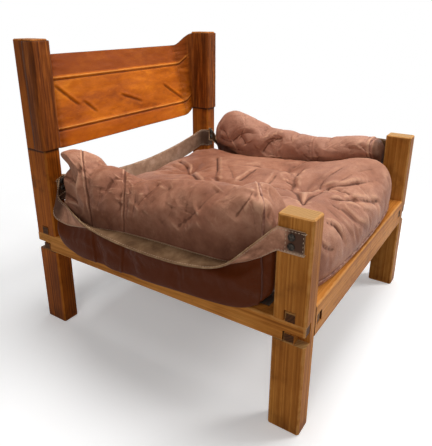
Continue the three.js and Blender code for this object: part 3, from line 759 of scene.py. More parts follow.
strapSettings = {
    "width": 0.050,
    "thickness": 0.0035,
    "gap": 0.0003,
    "perStation": 9,
    "across": 12,
    "seams": (0.085, 0.915),
    "threadRise": 0.00005,
    "stitch": (0.0044, 0.0007, 0.0062),
}
armStrapSettings = {
    "frontHeight": 0.440,
    "backHeight": 0.410,
    "low": 0.321,
    "frontInset": 0.014,
    "reach": 0.007,
    "curl": 0.026,
    "curlDrop": 0.051,
    "crossSeams": (0.004, 0.037),
    "wave": 0.0006,
    # back between the post faces, out, down and tilt; the left cushion holds its strap up at the front
    "right": [
        (0.005, 0.04, 0.05, 0.96),
        (0.05, 0.3, 0.26, 0.56),
        (0.137, 0.7, 0.53, 0.15),
        (0.26, 1, 0.57, -0.07),
        (0.43, 1, 0.59, -0.13),
        (0.585, 0.9, 0.65, 0.02),
    ],
    "left": [
        (0.005, 0.04, 0.0, 0.98),
        (0.05, 0.3, 0.0, 0.96),
        (0.137, 0.7, 0.02, 0.88),
        (0.26, 1, 0.12, 0.66),
        (0.43, 1, 0.40, 0.24),
        (0.585, 0.9, 0.63, 0.04),
    ],
    "both": [(0.71, 0.6, 0.78, 0.3), (0.79, 0.4, 0.88, 0.58), (0.92, 0.2, 1, 1.14)],
    # across the back post, in front of it, down and tilt
    "curls": [
        (0.06, 0.46, 0.98, 1.3),
        (0.26, 0.24, 0.5, 1.2),
        (0.42, 0.12, 0.3, 1.13),
        (0.53, 0.012, 0.17, 1.08),
        (0.58, 0, 0.12, 1.06),
    ],
}


def armStrapStations(name):
    # the middle of the right strap at each station, and the way from its lower edge to its upper one
    a = armStrapSettings
    gap, thick = strapSettings["gap"], strapSettings["thickness"]
    outside = -halfWidth - gap - thick / 2
    postFront = 0.324
    face = postFront - 2 * gap - 1.5 * thick
    run = 2 * postFront
    endLower = a["frontHeight"] - strapSettings["width"] / 2

    def tilted(share):
        return np.array([-math.cos(share * math.pi / 2), 0, math.sin(share * math.pi / 2)])

    stations = []
    start = -halfDepth + a["frontInset"]
    for share in (0, 0.45, 0.86, 0.93):
        stations.append(((outside, start + (-postFront - start) * share, a["frontHeight"]), tilted(1)))
    for along, out, drop, tilt in a[name] + a["both"]:
        height = endLower - drop * (endLower - a["low"])
        lower = np.array([outside - out * a["reach"], -postFront + along * run, height])
        stations.append((lower + tilted(tilt) * strapSettings["width"] / 2, tilted(tilt)))
    for across, out, drop, tilt in a["curls"]:
        height = a["backHeight"] - drop * a["curlDrop"]
        place = (-halfWidth + across * postWide, face - out * a["curl"], height)
        stations.append((place, tilted(tilt)))
    postInner = -0.340
    stations.append(((postInner - gap, face, a["backHeight"]), tilted(1)))
    shift = np.array([0, rowShift, 0])
    return [(np.array(point) + shift, across) for point, across in stations]


def strapGrid(stations, side):
    middle = np.array([point for point, _ in stations])
    across = np.array([way for _, way in stations])
    steps = len(stations) - 1
    places = np.linspace(0, steps, strapSettings["perStation"] * steps + 1)
    lower = splineAt(middle - across * strapSettings["width"] / 2, places)
    upper = splineAt(middle + across * strapSettings["width"] / 2, places)
    shares = np.linspace(0, 1, strapSettings["across"] + 1)
    grid = lower[:, None] + (upper - lower)[:, None] * shares[None, :, None]
    return grid * (side, 1, 1)


def onFace(path, facing):
    # a line of stitches on a strap's face, and the way it faces
    return path + facing * (strapSettings["thickness"] / 2 + strapSettings["threadRise"]), facing


def strapPiece(name, grid, wave, free):
    # a strap, and the lines of the stitches near its edges, on both faces
    shift = smoothNoise(grid.reshape(-1, 3), 30.0, 5.2).reshape(grid.shape[:2]) * wave * free[:, None]
    made = sheetMesh(name, grid, strapSettings["thickness"], shift)
    normal = gridNormals(grid)
    lines = []
    for share in strapSettings["seams"]:
        column = share * (grid.shape[1] - 1)
        low = int(column)
        part = column - low
        path = grid[:, low] * (1 - part) + grid[:, low + 1] * part
        for side in (1, -1):
            lines.append(onFace(path, normal[:, low] * side))
    return made, lines


def makeArmStraps():
    for name, side in (("right", 1), ("left", -1)):
        stations = armStrapStations(name)
        grid = strapGrid(stations, side)
        run = np.linspace(0, len(stations) - 1, len(grid))
        free = smoothStep(3.0, 5.0, run) * (1 - smoothStep(14.0, 16.0, run))
        strap, lines = strapPiece(f"arm_strap_{name}_leather", grid, armStrapSettings["wave"], free)
        # the doubled end over the front post is sewn across as well
        normal, runs = gridNormals(grid), np.linalg.norm(grid[:, 6] - grid[0, 6], axis=1)
        for place in armStrapSettings["crossSeams"]:
            row = int(np.argmin(np.abs(runs - place)))
            for face in (1, -1):
                lines.append(onFace(grid[row, 1:-1], normal[row, 1:-1] * face))
        sewn = stitches(f"arm_strap_{name}_stitches", lines, *strapSettings["stitch"])
        declare("strap_leather", f"arm_strap_{name}", strap, sewn)
        straps[name] = (strap, sewn)


backStrapSettings = {
    "width": 0.062,
    "height": 0.395,
    "sag": 0.0497,
    "bow": 0.024,
    "bend": 0.016,
    "wrap": 0.006,
    "inset": 0.024,
    "wave": 0.0012,
}


def backStrapGrid():
    b = backStrapSettings
    offset = strapSettings["gap"] + strapSettings["thickness"] / 2
    course = [(b["inset"], postDeep + offset, 0), ((b["inset"] + postWide) / 2, postDeep + offset, 0)]
    for degrees in np.linspace(0, -90, 6):
        angle = math.radians(degrees)
        course.append((postWide - offset * math.sin(angle), postDeep + offset * math.cos(angle), 0))
    bend = (postWide + offset + b["bend"], postDeep - b["wrap"])
    for degrees in (-90, -70, -50, -30, -10):
        angle = math.radians(degrees)
        course.append((bend[0] + b["bend"] * math.sin(angle), bend[1] - b["bend"] * math.cos(angle), 0))
    start = course[-1]
    for share in np.linspace(0.1, 1, 10):
        u = start[0] + (halfWidth - start[0]) * share
        course.append((u, start[1] - b["bow"] * share * (2 - share), share))
    half = []
    for u, v, share in course:
        height = b["height"] - b["sag"] * share * (2 - share)
        half.append((-halfWidth + u, halfDepth - v + rowShift, height))
    path = evenPath(mirrored(np.array(half)), 241)
    shares = np.linspace(-0.5, 0.5, strapSettings["across"] + 1)
    return path[:, None] + np.array([0, 0, b["width"]]) * shares[None, :, None]


def makeBackStrap():
    grid = backStrapGrid()
    free = 1 - smoothStep(0.25, 0.32, np.abs(grid[:, 0, 0]))
    strap, lines = strapPiece("back_strap_leather", grid, backStrapSettings["wave"], free)
    sewn = stitches("back_strap_stitches", lines, *strapSettings["stitch"])
    declare("strap_leather", "back_strap", strap, sewn)
    straps["back"] = (strap, sewn)


straps = {}
makeArmStraps()
makeBackStrap()
print("straps made:", len(straps))

# Seat webbing and fasteners

webSettings = {
    "rows": (-0.292, -0.153, -0.014, 0.125, 0.264),
    "width": 0.050,
    "thickness": 0.003,
    "end": 0.360,
    "bearing": 0.316,
    "sag": 0.005,
    "top": 0.2713,
}
# each head's radius and height
headSettings = {"web_tack": (0.005, 0.0015), "screw": (0.0075, 0.004)}


def makeWebs():
    w = webSettings
    webs = []
    for number, y in enumerate(w["rows"], start=1):
        xs = np.linspace(-w["end"], w["end"], 145)
        inner = np.clip(1 - (xs / w["bearing"]) ** 2, 0, None)
        zs = w["top"] - w["thickness"] / 2 - w["sag"] * inner
        ys = y + np.linspace(-0.5, 0.5, 13) * w["width"]
        grid = np.stack(np.broadcast_arrays(xs[:, None], ys[None], zs[:, None]), axis=2)
        web = sheetMesh(f"seat_web_{number}_webbing", grid, w["thickness"])
        declare("webbing", f"seat_web_{number}", web)
        webs.append(web)
    return webs


def turnedHead(radius, height):
    # a domed head with a rounded rim, its underside at 0
    sides, rim, inset = 36, 0.16, 0.14
    outline = [(1.0, 0.0), (1.0, rim)]
    for k in range(1, 8):
        angle = math.radians(90 * k / 7)
        across = 0.86 * math.cos(angle) + inset * (1 - k / 7) ** 2
        outline.append((across, rim + 0.84 * math.sin(angle)))
    points, faces = [(0, 0, 0)], []
    for share, rise in outline[:-1]:
        for k in range(sides):
            turn = 2 * math.pi * k / sides
            points.append((math.cos(turn) * share * radius, math.sin(turn) * share * radius, rise * height))
    points.append((0, 0, height))
    rings = len(outline) - 1
    for k in range(sides):
        m = (k + 1) % sides
        faces.append((0, 1 + m, 1 + k))
        for i in range(rings - 1):
            a, b = 1 + i * sides, 1 + (i + 1) * sides
            faces.append((a + k, a + m, b + m, b + k))
        faces.append((1 + (rings - 1) * sides + k, 1 + (rings - 1) * sides + m, len(points) - 1))
    return points, faces


def makeFasteners():
    # every head stands where its CAD screw or tack does
    heads = []
    for name in sorted(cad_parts):
        kind = next((kind for kind in headSettings if name.startswith(kind)), None)
        if kind is None:
            continue
        radius, height = headSettings[kind]
        low, high = (Vector(corner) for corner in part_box(name))
        base = (low + high) / 2
        if kind == "web_tack":
            axis = Vector((0, 0, 1))
            base.z = high.z - height
        elif name.startswith("screw_front"):
            side = -1 if "right" in name else 1
            axis = Vector((side, 0, 0))
            base.x = low.x + height if side < 0 else high.x - height
        else:
            axis = Vector((0, -1, 0))
            base.y = low.y + height
        points, faces = turnedHead(radius, height)
        turn = Vector((0, 0, 1)).rotation_difference(axis)
        head = meshObject(f"{name}_head", [turn @ Vector(p) + base for p in points], faces)
        fixNormals(head)
        declare("dark_metal", name, head)
        heads.append(head)
    return heads


webs = makeWebs()
heads = makeFasteners()
print("webs and heads made:", len(webs), len(heads))


# Cushions


def boxGrid(steps):
    # the surface of a box as squares, with where each corner stands from -1 to 1
    lookup, corners, faces = {}, [], []
    for axis in range(3):
        first, second = (axis + 1) % 3, (axis + 2) % 3
        for end in (0, steps[axis]):
            for i in range(steps[first]):
                for j in range(steps[second]):
                    square = []
                    for di, dj in ((0, 0), (1, 0), (1, 1), (0, 1)):
                        key = [0, 0, 0]
                        key[axis], key[first], key[second] = end, i + di, j + dj
                        key = tuple(key)
                        if key not in lookup:
                            lookup[key] = len(corners)
                            corners.append(key)
                        square.append(lookup[key])
                    faces.append(square if end else square[::-1])
    return np.array(corners) * 2 / np.array(steps) - 1, faces


def rounded(a, b, c, pairPower, power):
    # the length of a vector where two directions round off by one power and the third by another
    pair = (np.abs(a) ** pairPower + np.abs(b) ** pairPower) ** (1 / pairPower)
    return (pair**power + np.abs(c) ** power) ** (1 / power)


def profile(table, value, blur=0.012):
    # a smooth curve through a table of places and heights
    perBlur, reach = 6, 18
    places, heights = np.array(table).T
    fine = np.arange(places.min() - 4 * blur, places.max() + 4 * blur, blur / perBlur)
    raw = np.interp(fine, places, heights)
    weights = np.exp(-((np.arange(-reach, reach + 1) / perBlur) ** 2) / 2)
    soft = np.convolve(np.pad(raw, reach, mode="edge"), weights / weights.sum(), mode="valid")
    return np.interp(value, fine, soft)


def treeOf(thing):
    corners = [tuple(vertex.co) for vertex in thing.data.vertices]
    return BVHTree.FromPolygons(corners, [tuple(polygon.vertices) for polygon in thing.data.polygons])


clothFrames = 18
clothSettings = {
    "quality": 6,
    "mass": 0.22,
    "tension_stiffness": 18,
    "compression_stiffness": 18,
    "shear_stiffness": 8,
    "bending_stiffness": 0.35,
    "use_pressure": True,
    "vertex_group_mass": "held",
    "shrink_min": -0.02,
}


def settle(thing, held, pressure, cap):
    # swells the skin against what is sewn or leaned on, and keeps every point within the cap
    start = pointsOf(thing)
    group = thing.vertex_groups.new(name="held")
    for index in np.nonzero(held > 0.01)[0]:
        group.add([int(index)], float(held[index]), "REPLACE")
    modifier = thing.modifiers.new("cloth", "CLOTH")
    cloth = modifier.settings
    for key, value in clothSettings.items():
        setattr(cloth, key, value)
    cloth.uniform_pressure_force = pressure
    cloth.effector_weights.gravity = 0
    modifier.collision_settings.use_collision = False
    modifier.point_cache.frame_start = 1
    modifier.point_cache.frame_end = clothFrames
    for step in range(1, clothFrames + 1):
        scene.frame_set(step)
    applyModifiers(thing)
    scene.frame_set(1)
    thing.vertex_groups.clear()
    move = pointsOf(thing) - start
    length = np.linalg.norm(move, axis=1, keepdims=True)
    move *= np.minimum(1, cap / np.maximum(length, 1e-9))
    setPoints(thing, start + move)
    print("settled:", thing.name, "most", round(float(length.max()) * 1000, 1), "mm")


def subdivided(thing):
    modifier = thing.modifiers.new("finer", "SUBSURF")
    modifier.levels = modifier.render_levels = 1
    applyModifiers(thing)


def tracedPath(tree, pixels):
    # the places of a line in the photo, on the cushion
    spots = []
    for across, down in pixels:
        hit = tree.ray_cast(Vector(cameraSettings["place"]), sightLine(across, down))[0]
        if hit is not None:
            spots.append(hit)
    return spots


def foldRow(depth, width, lip, line, fade=(0.15, 0.2), creaseShade=None):
    # a fold: lip is a share of its depth; line is in the photo's pixels, or in metres if it has heights; fade
    # is how much of it fades at each end; creaseShade, if given, is how dark the painted shade along its
    # middle is
    return {"depth": depth, "width": width, "lip": lip, "line": line, "fade": fade, "creaseShade": creaseShade}


# how a fold is shaped, in its own widths; the painted shade along its middle has a least width in metres too
foldShape = {"reach": 5, "right": 1.7, "broad": (0.62, 1.1), "sharp": (0.38, 0.3), "lip": (2.2, 1.3)}
creaseShadeShape = (0.1, 0.0020)


def drawFolds(thing, folds, creaseShade):
    # pushes each fold into the skin: a broad dip with a sharp middle and a lip on its left, and returns
    # painted shade along its middle; creaseShade is the depth at which that shade is fully dark
    points, normals = pointsOf(thing), normalsOf(thing)
    tree = treeOf(thing)
    lift = np.zeros(len(points))
    dark = np.zeros(len(points))
    for fold in folds:
        line, width, depth = fold["line"], fold["width"], fold["depth"]
        spots = tracedPath(tree, line) if len(line[0]) == 2 else [Vector(p) for p in line]
        if len(spots) < 2:
            print("fold left out:", thing.name, line[0])
            continue
        path = splineAt([tuple(p) for p in spots], np.linspace(0, len(spots) - 1, 8 * (len(spots) - 1) + 1))
        reach = foldShape["reach"] * width
        near = np.all((points > path.min(0) - reach) & (points < path.max(0) + reach), axis=1)
        rows = np.nonzero(near)[0]
        if not len(rows):
            continue
        spot, normal = points[rows], normals[rows]
        best = np.full(len(rows), np.inf)
        side = np.zeros(len(rows))
        share = np.zeros(len(rows))
        steps = len(path) - 1
        for k in range(steps):
            a, way = path[k], path[k + 1] - path[k]
            t = np.clip(((spot - a) @ way) / max(way @ way, 1e-12), 0, 1)
            off = spot - a - t[:, None] * way
            gap = np.linalg.norm(off, axis=1)
            better = gap < best
            best[better] = gap[better]
            sign = np.sum(np.cross(normal, way) * off, axis=1)
            side[better] = np.sign(sign[better])
            share[better] = ((k + t) / steps)[better]
        fade = fold["fade"]
        ends = smoothStep(0, fade[0], share + 0.03) * (1 - smoothStep(1 - fade[1], 1.0, share - 0.03))
        signed = best * side
        wide = width * np.where(signed > 0, 1.0, foldShape["right"])
        (broad, broadWidth), (sharp, sharpWidth) = foldShape["broad"], foldShape["sharp"]
        valley = broad * bell(best, broadWidth * wide) + sharp * np.exp(-best / (sharpWidth * wide))
        lipPlace, lipWidth = foldShape["lip"]
        crest = bell(signed - lipPlace * width, lipWidth * width)
        lift[rows] += ends * depth * (fold["lip"] * ends * crest - valley)
        middle = bell(best, creaseShadeShape[0] * width + creaseShadeShape[1])
        strength = depth / creaseShade if fold["creaseShade"] is None else fold["creaseShade"]
        dark[rows] = np.maximum(dark[rows], ends * np.clip(strength, 0, 1) * middle)
    setPoints(thing, points + normals * lift[:, None])
    return dark


# where the seams' own places are measured: out from the middle, and the height
seamOut, seamHeight = 0.405, 0.39
seamShape = {
    "depth": 0.0016,
    "width": 0.0028,
    "lip": 0.0016,
    "gather": 0.0011,
    "gatherReach": 0.020,
    # how dark the groove is: painted shade
    "dark": 0.62,
}


def fromSeam(points, seam):
    # how far behind a seam each point is; a seam is its place, slope up, strength and slope inward
    y0, slope, _, inward = seam
    return points[:, 1] - y0 - slope * (points[:, 2] - seamHeight) - inward * (seamOut - np.abs(points[:, 0]))


def ringDetail(points, seams):
    # a sewn seam round the cushion: a narrow groove with the turned-in edges raised on one side, and painted
    # shade in the groove
    d = seamShape
    lift = np.zeros(len(points))
    dark = np.zeros(len(points))
    for seam in seams:
        y0, _, strength, _ = seam
        away = fromSeam(points, seam)
        groove = bell(away, d["width"])
        ridge = bell(away - 2.1 * d["width"], 1.2 * d["width"])
        # small folds that the stitching gathers, standing square to the seam
        gather = np.sin(points[:, 2] * 190 + y0 * 400 + smoothNoise(points, 18.0, 3.1) * 3.0)
        beside = np.exp(-np.abs(away) / d["gatherReach"]) * (1 - groove)
        lift += strength * (d["lip"] * ridge - d["depth"] * groove + d["gather"] * gather * beside)
        dark = np.maximum(dark, strength * groove * d["dark"])
    return lift, dark


def keepOutside(points, box):
    # pushes points out of a box by the shortest way
    clearance = 0.0006
    low, high = (np.array(corner) for corner in box)
    low, high = low - clearance, high + clearance
    rows = np.nonzero(np.all((points > low) & (points < high), axis=1))[0]
    if not len(rows):
        return points
    ways = np.concatenate([points[rows] - low, high - points[rows]], axis=1)
    choice = ways.argmin(axis=1)
    for axis in range(3):
        points[rows[choice == axis], axis] = low[axis]
        points[rows[choice == axis + 3], axis] = high[axis]
    return points


# how a cushion is drawn in by its strap, measured on a grid along and up
drapeSettings = {
    "step": 0.004,
    "along": (-0.345, 0.305),
    "up": (0.27, 0.53),
    "probe": 0.12,
    "gap": 0.0012,
    "reach": 24,
    "roundAbove": 0.17,
    "roundElse": 0.024,
    "ease": 0.0025,
    "outerFrom": 0.30,
}


def belowStrap(points, tree, centre, side):
    # draws the cushion in under the strap that crosses its outer face
    d = drapeSettings
    ys = np.arange(*d["along"], d["step"])
    zs = np.arange(*d["up"], d["step"])
    limit = np.full((len(ys), len(zs)), 1.0)
    for i, y in enumerate(ys):
        for j, z in enumerate(zs):
            hit = tree.ray_cast(Vector((side * centre, y, z)), Vector((side, 0, 0)), d["probe"])[0]
            if hit is not None:
                limit[i, j] = abs(hit.x) - d["gap"]
    soft = limit.copy()
    steps = range(-d["reach"], d["reach"] + 1)
    for di in steps:
        for dj in steps:
            radius = d["roundAbove"] if dj > 0 else d["roundElse"]
            far = (di * di + dj * dj) * d["step"] ** 2
            moved = np.full_like(limit, 1.0)
            source = limit[max(0, -di) : len(ys) - max(0, di), max(0, -dj) : len(zs) - max(0, dj)]
            moved[max(0, di) : len(ys) - max(0, -di), max(0, dj) : len(zs) - max(0, -dj)] = source
            soft = np.minimum(soft, moved + far / (2 * radius))
    fy = np.clip((points[:, 1] - ys[0]) / d["step"], 0, len(ys) - 1.001)
    fz = np.clip((points[:, 2] - zs[0]) / d["step"], 0, len(zs) - 1.001)
    i, j = fy.astype(int), fz.astype(int)
    a, b = fy - i, fz - j
    allowed = soft[i, j] * (1 - a) * (1 - b) + soft[i + 1, j] * a * (1 - b)
    allowed = allowed + soft[i, j + 1] * (1 - a) * b + soft[i + 1, j + 1] * a * b
    outer = points[:, 0] * side
    nearOuter = outer > d["outerFrom"]
    eased = -d["ease"] * np.logaddexp(-outer / d["ease"], -allowed / d["ease"])
    points[nearOuter, 0] = side * eased[nearOuter]
    return points


armSettings = {
    "front": -0.334,
    "bottom": 0.2740,
    "centre": 0.352,
    "steps": (26, 132, 46),
    "flap": 12.0,
    "flapTop": 0.345,
    "hangOut": 0.3888,
    "hangFrom": 0.372,
    "standFrom": 0.300,
    "railTop": 0.2690,
    "webTop": 0.2738,
    "webEnd": 0.3612,
    "dentWidth": 0.022,
    "waistIn": 0.55,
    "pressure": 2.6,
    "cap": 0.009,
    "creaseShade": 0.030,
    "piping": 0.0022,
    "underOut": (0.366, 0.382),
    "underEdge": (-0.003, 0.010),
    # the strap's inner edge, below which the leather is a darker brown, with painted shade from the strap
    "strapLine": [
        (-0.334, 0.428), (-0.313, 0.422), (-0.279, 0.398), (-0.240, 0.370), (-0.224, 0.358),
        (-0.165, 0.356), (-0.102, 0.357), (-0.034, 0.356), (0.033, 0.352), (0.090, 0.346),
        (0.173, 0.332), (0.250, 0.325), (0.290, 0.345),
    ],
}
arms = {
    "right": {
        "side": -1,
        "pale": 0.04,
        "top": [
            (-0.334, 0.472), (-0.319, 0.495), (-0.304, 0.511), (-0.288, 0.518), (-0.272, 0.519),
            (-0.240, 0.509), (-0.210, 0.500), (-0.174, 0.498), (-0.123, 0.492), (-0.065, 0.483),
            (-0.027, 0.479), (0.022, 0.473), (0.050, 0.467), (0.078, 0.467), (0.099, 0.468),
            (0.142, 0.477), (0.170, 0.478), (0.205, 0.489), (0.240, 0.506), (0.264, 0.513),
            (0.291, 0.511),
        ],
        "hem": [
            (-0.334, 0.309), (-0.322, 0.283), (-0.312, 0.265), (-0.296, 0.258), (-0.266, 0.255),
            (-0.130, 0.251), (-0.037, 0.245), (0.093, 0.241), (0.202, 0.243), (0.260, 0.256),
            (0.288, 0.274),
        ],
        "back": 0.288,
        "thick": 0.060,
        "outer": 0.053,
        "squareness": [(-1, 6.5), (-0.85, 5), (-0.6, 3), (-0.4, 2.7), (0.7, 2.7), (0.85, 3.6), (1, 5)],
        "lean": [(-1.0, 0.004), (-0.85, 0.008), (-0.5, 0.018), (1.0, 0.018)],
        "ends": (5.5, 12),
        "recess": 0.22,
        "ear": {
            "start": 0.72,
            "height": 0.468,
            "spread": 0.019,
            "drawIn": 0.034,
            "flat": 0.55,
            "inward": 0.010,
            "point": 0.006,
            "from": (0.005, 0.035),
        },
        "seams": [
            (-0.3215, 0.0, 1.0, 0.7),
            (-0.130, 0.0, 0.2, 0.0),
            (0.034, -0.10, 0.8, 0.9),
            (0.145, 0.075, 1.0, 1.1),
        ],
        "dents": [(0.040, 0.10, 0.004), (0.155, 0.25, 0.006)],
        "folds": [
            foldRow(0.004, 0.0091, 0.4, [(123.7, 172.5), (123, 182), (122, 191), (121, 199)]),
            foldRow(0.006, 0.0117, 0.56, [(160, 182), (150, 190.5), (140.5, 200.5), (136, 208)]),
            foldRow(0.003, 0.013, 0.64, [(172, 186), (160, 195), (150, 204), (141, 212)]),
            foldRow(0.004, 0.0078, 0.72, [(136, 190), (133, 205), (130, 220), (128, 232)]),
            foldRow(0.006, 0.013, 0.4, [(196, 211), (189, 217), (182, 223), (176, 229)]),
            foldRow(0.005, 0.0182, 0.4, [(236, 184), (220, 189), (206, 199), (195, 211)]),
            foldRow(0.008, 0.013, 0.48, [(254.5, 190), (246.7, 200), (240, 209), (233, 220)]),
            foldRow(0.004, 0.0182, 0.48, [(262, 222), (247, 228), (228, 238), (205, 246)]),
            foldRow(0.002, 0.0078, 0.64, [(245, 217), (255, 213), (263, 216)]),
            foldRow(0.005, 0.013, 0.32, [(100, 186), (98, 198), (96, 210)]),
            foldRow(0.004, 0.0104, 0.48, [(118, 176), (110, 183), (104, 194)]),
            foldRow(0.004, 0.013, 0.4, [(84, 168), (76, 176), (66, 182)]),
            foldRow(0.003, 0.0104, 0.4, [(80, 158), (72, 162), (66, 163)]),
            foldRow(0.003, 0.0143, 0.4, [(122, 202), (116, 214), (106, 224)]),
            foldRow(0.003, 0.0156, 0.4, [(172, 205), (168, 216), (158, 226)]),
            foldRow(0.002, 0.0091, 0.48, [(176, 262), (176.5, 275), (175, 288)]),
            foldRow(0.003, 0.0104, 0.48, [(131, 254), (133, 264), (137, 276)]),
            foldRow(0.003, 0.0091, 0.48, [(98, 240), (101, 252), (104, 264)]),
            foldRow(0.002, 0.013, 0.4, [(214, 268), (216, 282), (222, 298)]),
        ],
    },
    "left": {
        "side": 1,
        "pale": 0.22,
        "top": [
            (-0.334, 0.470), (-0.316, 0.482), (-0.296, 0.483), (-0.261, 0.478), (-0.210, 0.469),
            (-0.164, 0.457), (-0.135, 0.456), (-0.089, 0.458), (-0.004, 0.466), (0.046, 0.469),
            (0.107, 0.493), (0.150, 0.513), (0.190, 0.531), (0.225, 0.531), (0.266, 0.510),
        ],
        "hem": [(-0.334, 0.276), (-0.252, 0.262), (0.0, 0.246), (0.2, 0.250), (0.288, 0.272)],
        "back": 0.272,
        "thick": 0.058,
        "outer": 0.055,
        "squareness": [(-1.0, 4.0), (-0.8, 2.6), (1.0, 2.2)],
        "lean": [(-1.0, 0.010), (-0.7, 0.018), (1.0, 0.018)],
        "ends": (8, 3.0),
        "recess": 0.3,
        "waist": [
            (-0.334, 0.424), (-0.304, 0.422), (-0.266, 0.416), (-0.205, 0.400), (-0.164, 0.388),
            (-0.098, 0.379), (-0.029, 0.364), (0.050, 0.355), (0.106, 0.353), (0.155, 0.364),
            (0.203, 0.381), (0.266, 0.392),
        ],
        "seams": [
            (-0.312, 0.10, 1.0, 0.0),
            (-0.130, 0.15, 0.35, 0.0),
            (0.0, 0.05, 0.25, 0.0),
            (0.250, 0.0, 0.3, 0.0),
        ],
        "dents": [(-0.130, 0.15, 0.003), (0.0, 0.05, 0.003)],
        "folds": [
            foldRow(0.005, 0.0104, 0.56, [(220, 138), (226, 141), (232.4, 142)]),
            foldRow(0.007, 0.0104, 0.64,
                [(232, 142), (234, 139.5), (239.3, 135), (247.3, 132.8), (258.8, 134)]),
            foldRow(0.005, 0.0091, 0.56, [(239, 136), (243, 140), (245.5, 145)]),
            foldRow(0.004, 0.0117, 0.64, [(230, 139), (236, 130), (248, 126), (262, 128)]),
            foldRow(0.004, 0.0104, 0.4, [(219, 128), (226, 133), (229, 141)]),
            foldRow(0.007, 0.0104, 0.64,
                [(262, 153), (265.7, 147.8), (270.3, 142), (278.3, 138.6), (286, 137)]),
            foldRow(0.005, 0.0117, 0.4, [(224, 147), (234, 150), (246, 151)]),
            foldRow(0.003, 0.013, 0.48, [(246, 118), (256, 124), (268, 131)]),
            foldRow(0.003, 0.013, 0.48, [(296, 150), (304, 145), (314, 142)]),
            foldRow(0.003, 0.013, 0.48, [(340, 142), (348, 147), (352, 154)]),
        ],
    },
}


def armShape(name):
    # the cushion before its leather settles
    arm, a = arms[name], armSettings
    unitPoints, faces = boxGrid(a["steps"])
    square = profile(arm["squareness"], unitPoints[:, 1], 0.1)
    lowOuter = (unitPoints[:, 0] < 0) & (unitPoints[:, 2] < 0)
    square = np.where(lowOuter, np.maximum(square, a["flap"]), square)
    power = np.where(unitPoints[:, 1] < 0, *arm["ends"])
    length = rounded(unitPoints[:, 0], unitPoints[:, 2], unitPoints[:, 1], square, power)
    s, t, h = (unitPoints / length[:, None]).T
    middle, half = (a["front"] + arm["back"]) / 2, (arm["back"] - a["front"]) / 2
    y = middle + t * half
    top = profile(arm["top"], y)
    z = a["bottom"] + (h + 1) / 2 * (top - a["bottom"])
    inner = s > 0
    thick = np.where(inner, arm["thick"] * (1 - arm["recess"] * np.clip(-h, 0, 1)), arm["outer"])
    if "waist" in arm:
        under = 1 - smoothStep(-0.014, 0.020, z - profile(arm["waist"], y))
        thick = thick * np.where(inner, 1 - a["waistIn"] * under, 1.0)
    for y0, slope, depth in arm["dents"]:
        near = bell(y - y0 - slope * (z - seamHeight), a["dentWidth"])
        thick = thick - depth * near
        z = z - depth * 0.6 * np.clip(h, 0, 1) * near
    x = -a["centre"] + s * thick + profile(arm["lean"], t, 0.1) * np.clip(h, 0, 1)
    if "ear" in arm:
        # the back corner stands up as a flat ear, with the end drawn in below it
        ear = arm["ear"]
        atEnd = smoothStep(ear["start"], 1.0, t)
        y = y - ear["drawIn"] * atEnd * bell(z - ear["height"], ear["spread"])
        upper = smoothStep(ear["height"] + ear["from"][0], ear["height"] + ear["from"][1], z)
        x = x + atEnd * upper * ear["flat"] * (-a["centre"] - ear["inward"] - x)
        y = y + ear["point"] * atEnd * upper
    # the outer side hangs over the side rail, down to the hem
    hem = profile(arm["hem"], y, 0.006)
    share = np.clip((z - a["bottom"]) / (a["flapTop"] - a["bottom"]), 0, 1)
    z = z + smoothStep(0.45, 0.8, -s) * (1 - share) * (hem - a["bottom"])
    points = np.stack([x * -arm["side"], y, z], axis=1)
    if arm["side"] > 0:
        faces = [face[::-1] for face in faces]
    return points, faces, (s, t, h)


def armClear(points, name):
    a, side = armSettings, arms[name]["side"]
    points = belowStrap(points, strapTrees[name], a["centre"], side)
    outer = points[:, 0] * side
    # the hem hangs outside the rail, and the rest stands on it
    within = (outer < a["hangOut"]) & (outer > a["standFrom"])
    hanging = within & (points[:, 2] < a["railTop"]) & (outer > a["hangFrom"])
    points[hanging, 0] = side * a["hangOut"]
    floorHeight = np.where(outer < a["webEnd"], a["webTop"], a["railTop"])
    low = within & ~hanging & (points[:, 2] < floorHeight)
    points[low, 2] = floorHeight[low]
    for post in (f"post_front_{name}", f"post_back_{name}"):
        points = keepOutside(points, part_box(post))
    return points


def belowLine(points):
    # how far below the strap's inner edge each point is
    return profile(armSettings["strapLine"], points[:, 1]) - points[:, 2]


def markUnder(thing):
    # stores where the leather lay below the strap, on the cushion's outer side, for its darker brown and
    # painted shade
    points = pointsOf(thing)
    outward = smoothStep(*armSettings["underOut"], np.abs(points[:, 0]))
    setAttribute(thing, "under", smoothStep(*armSettings["underEdge"], belowLine(points)) * outward)


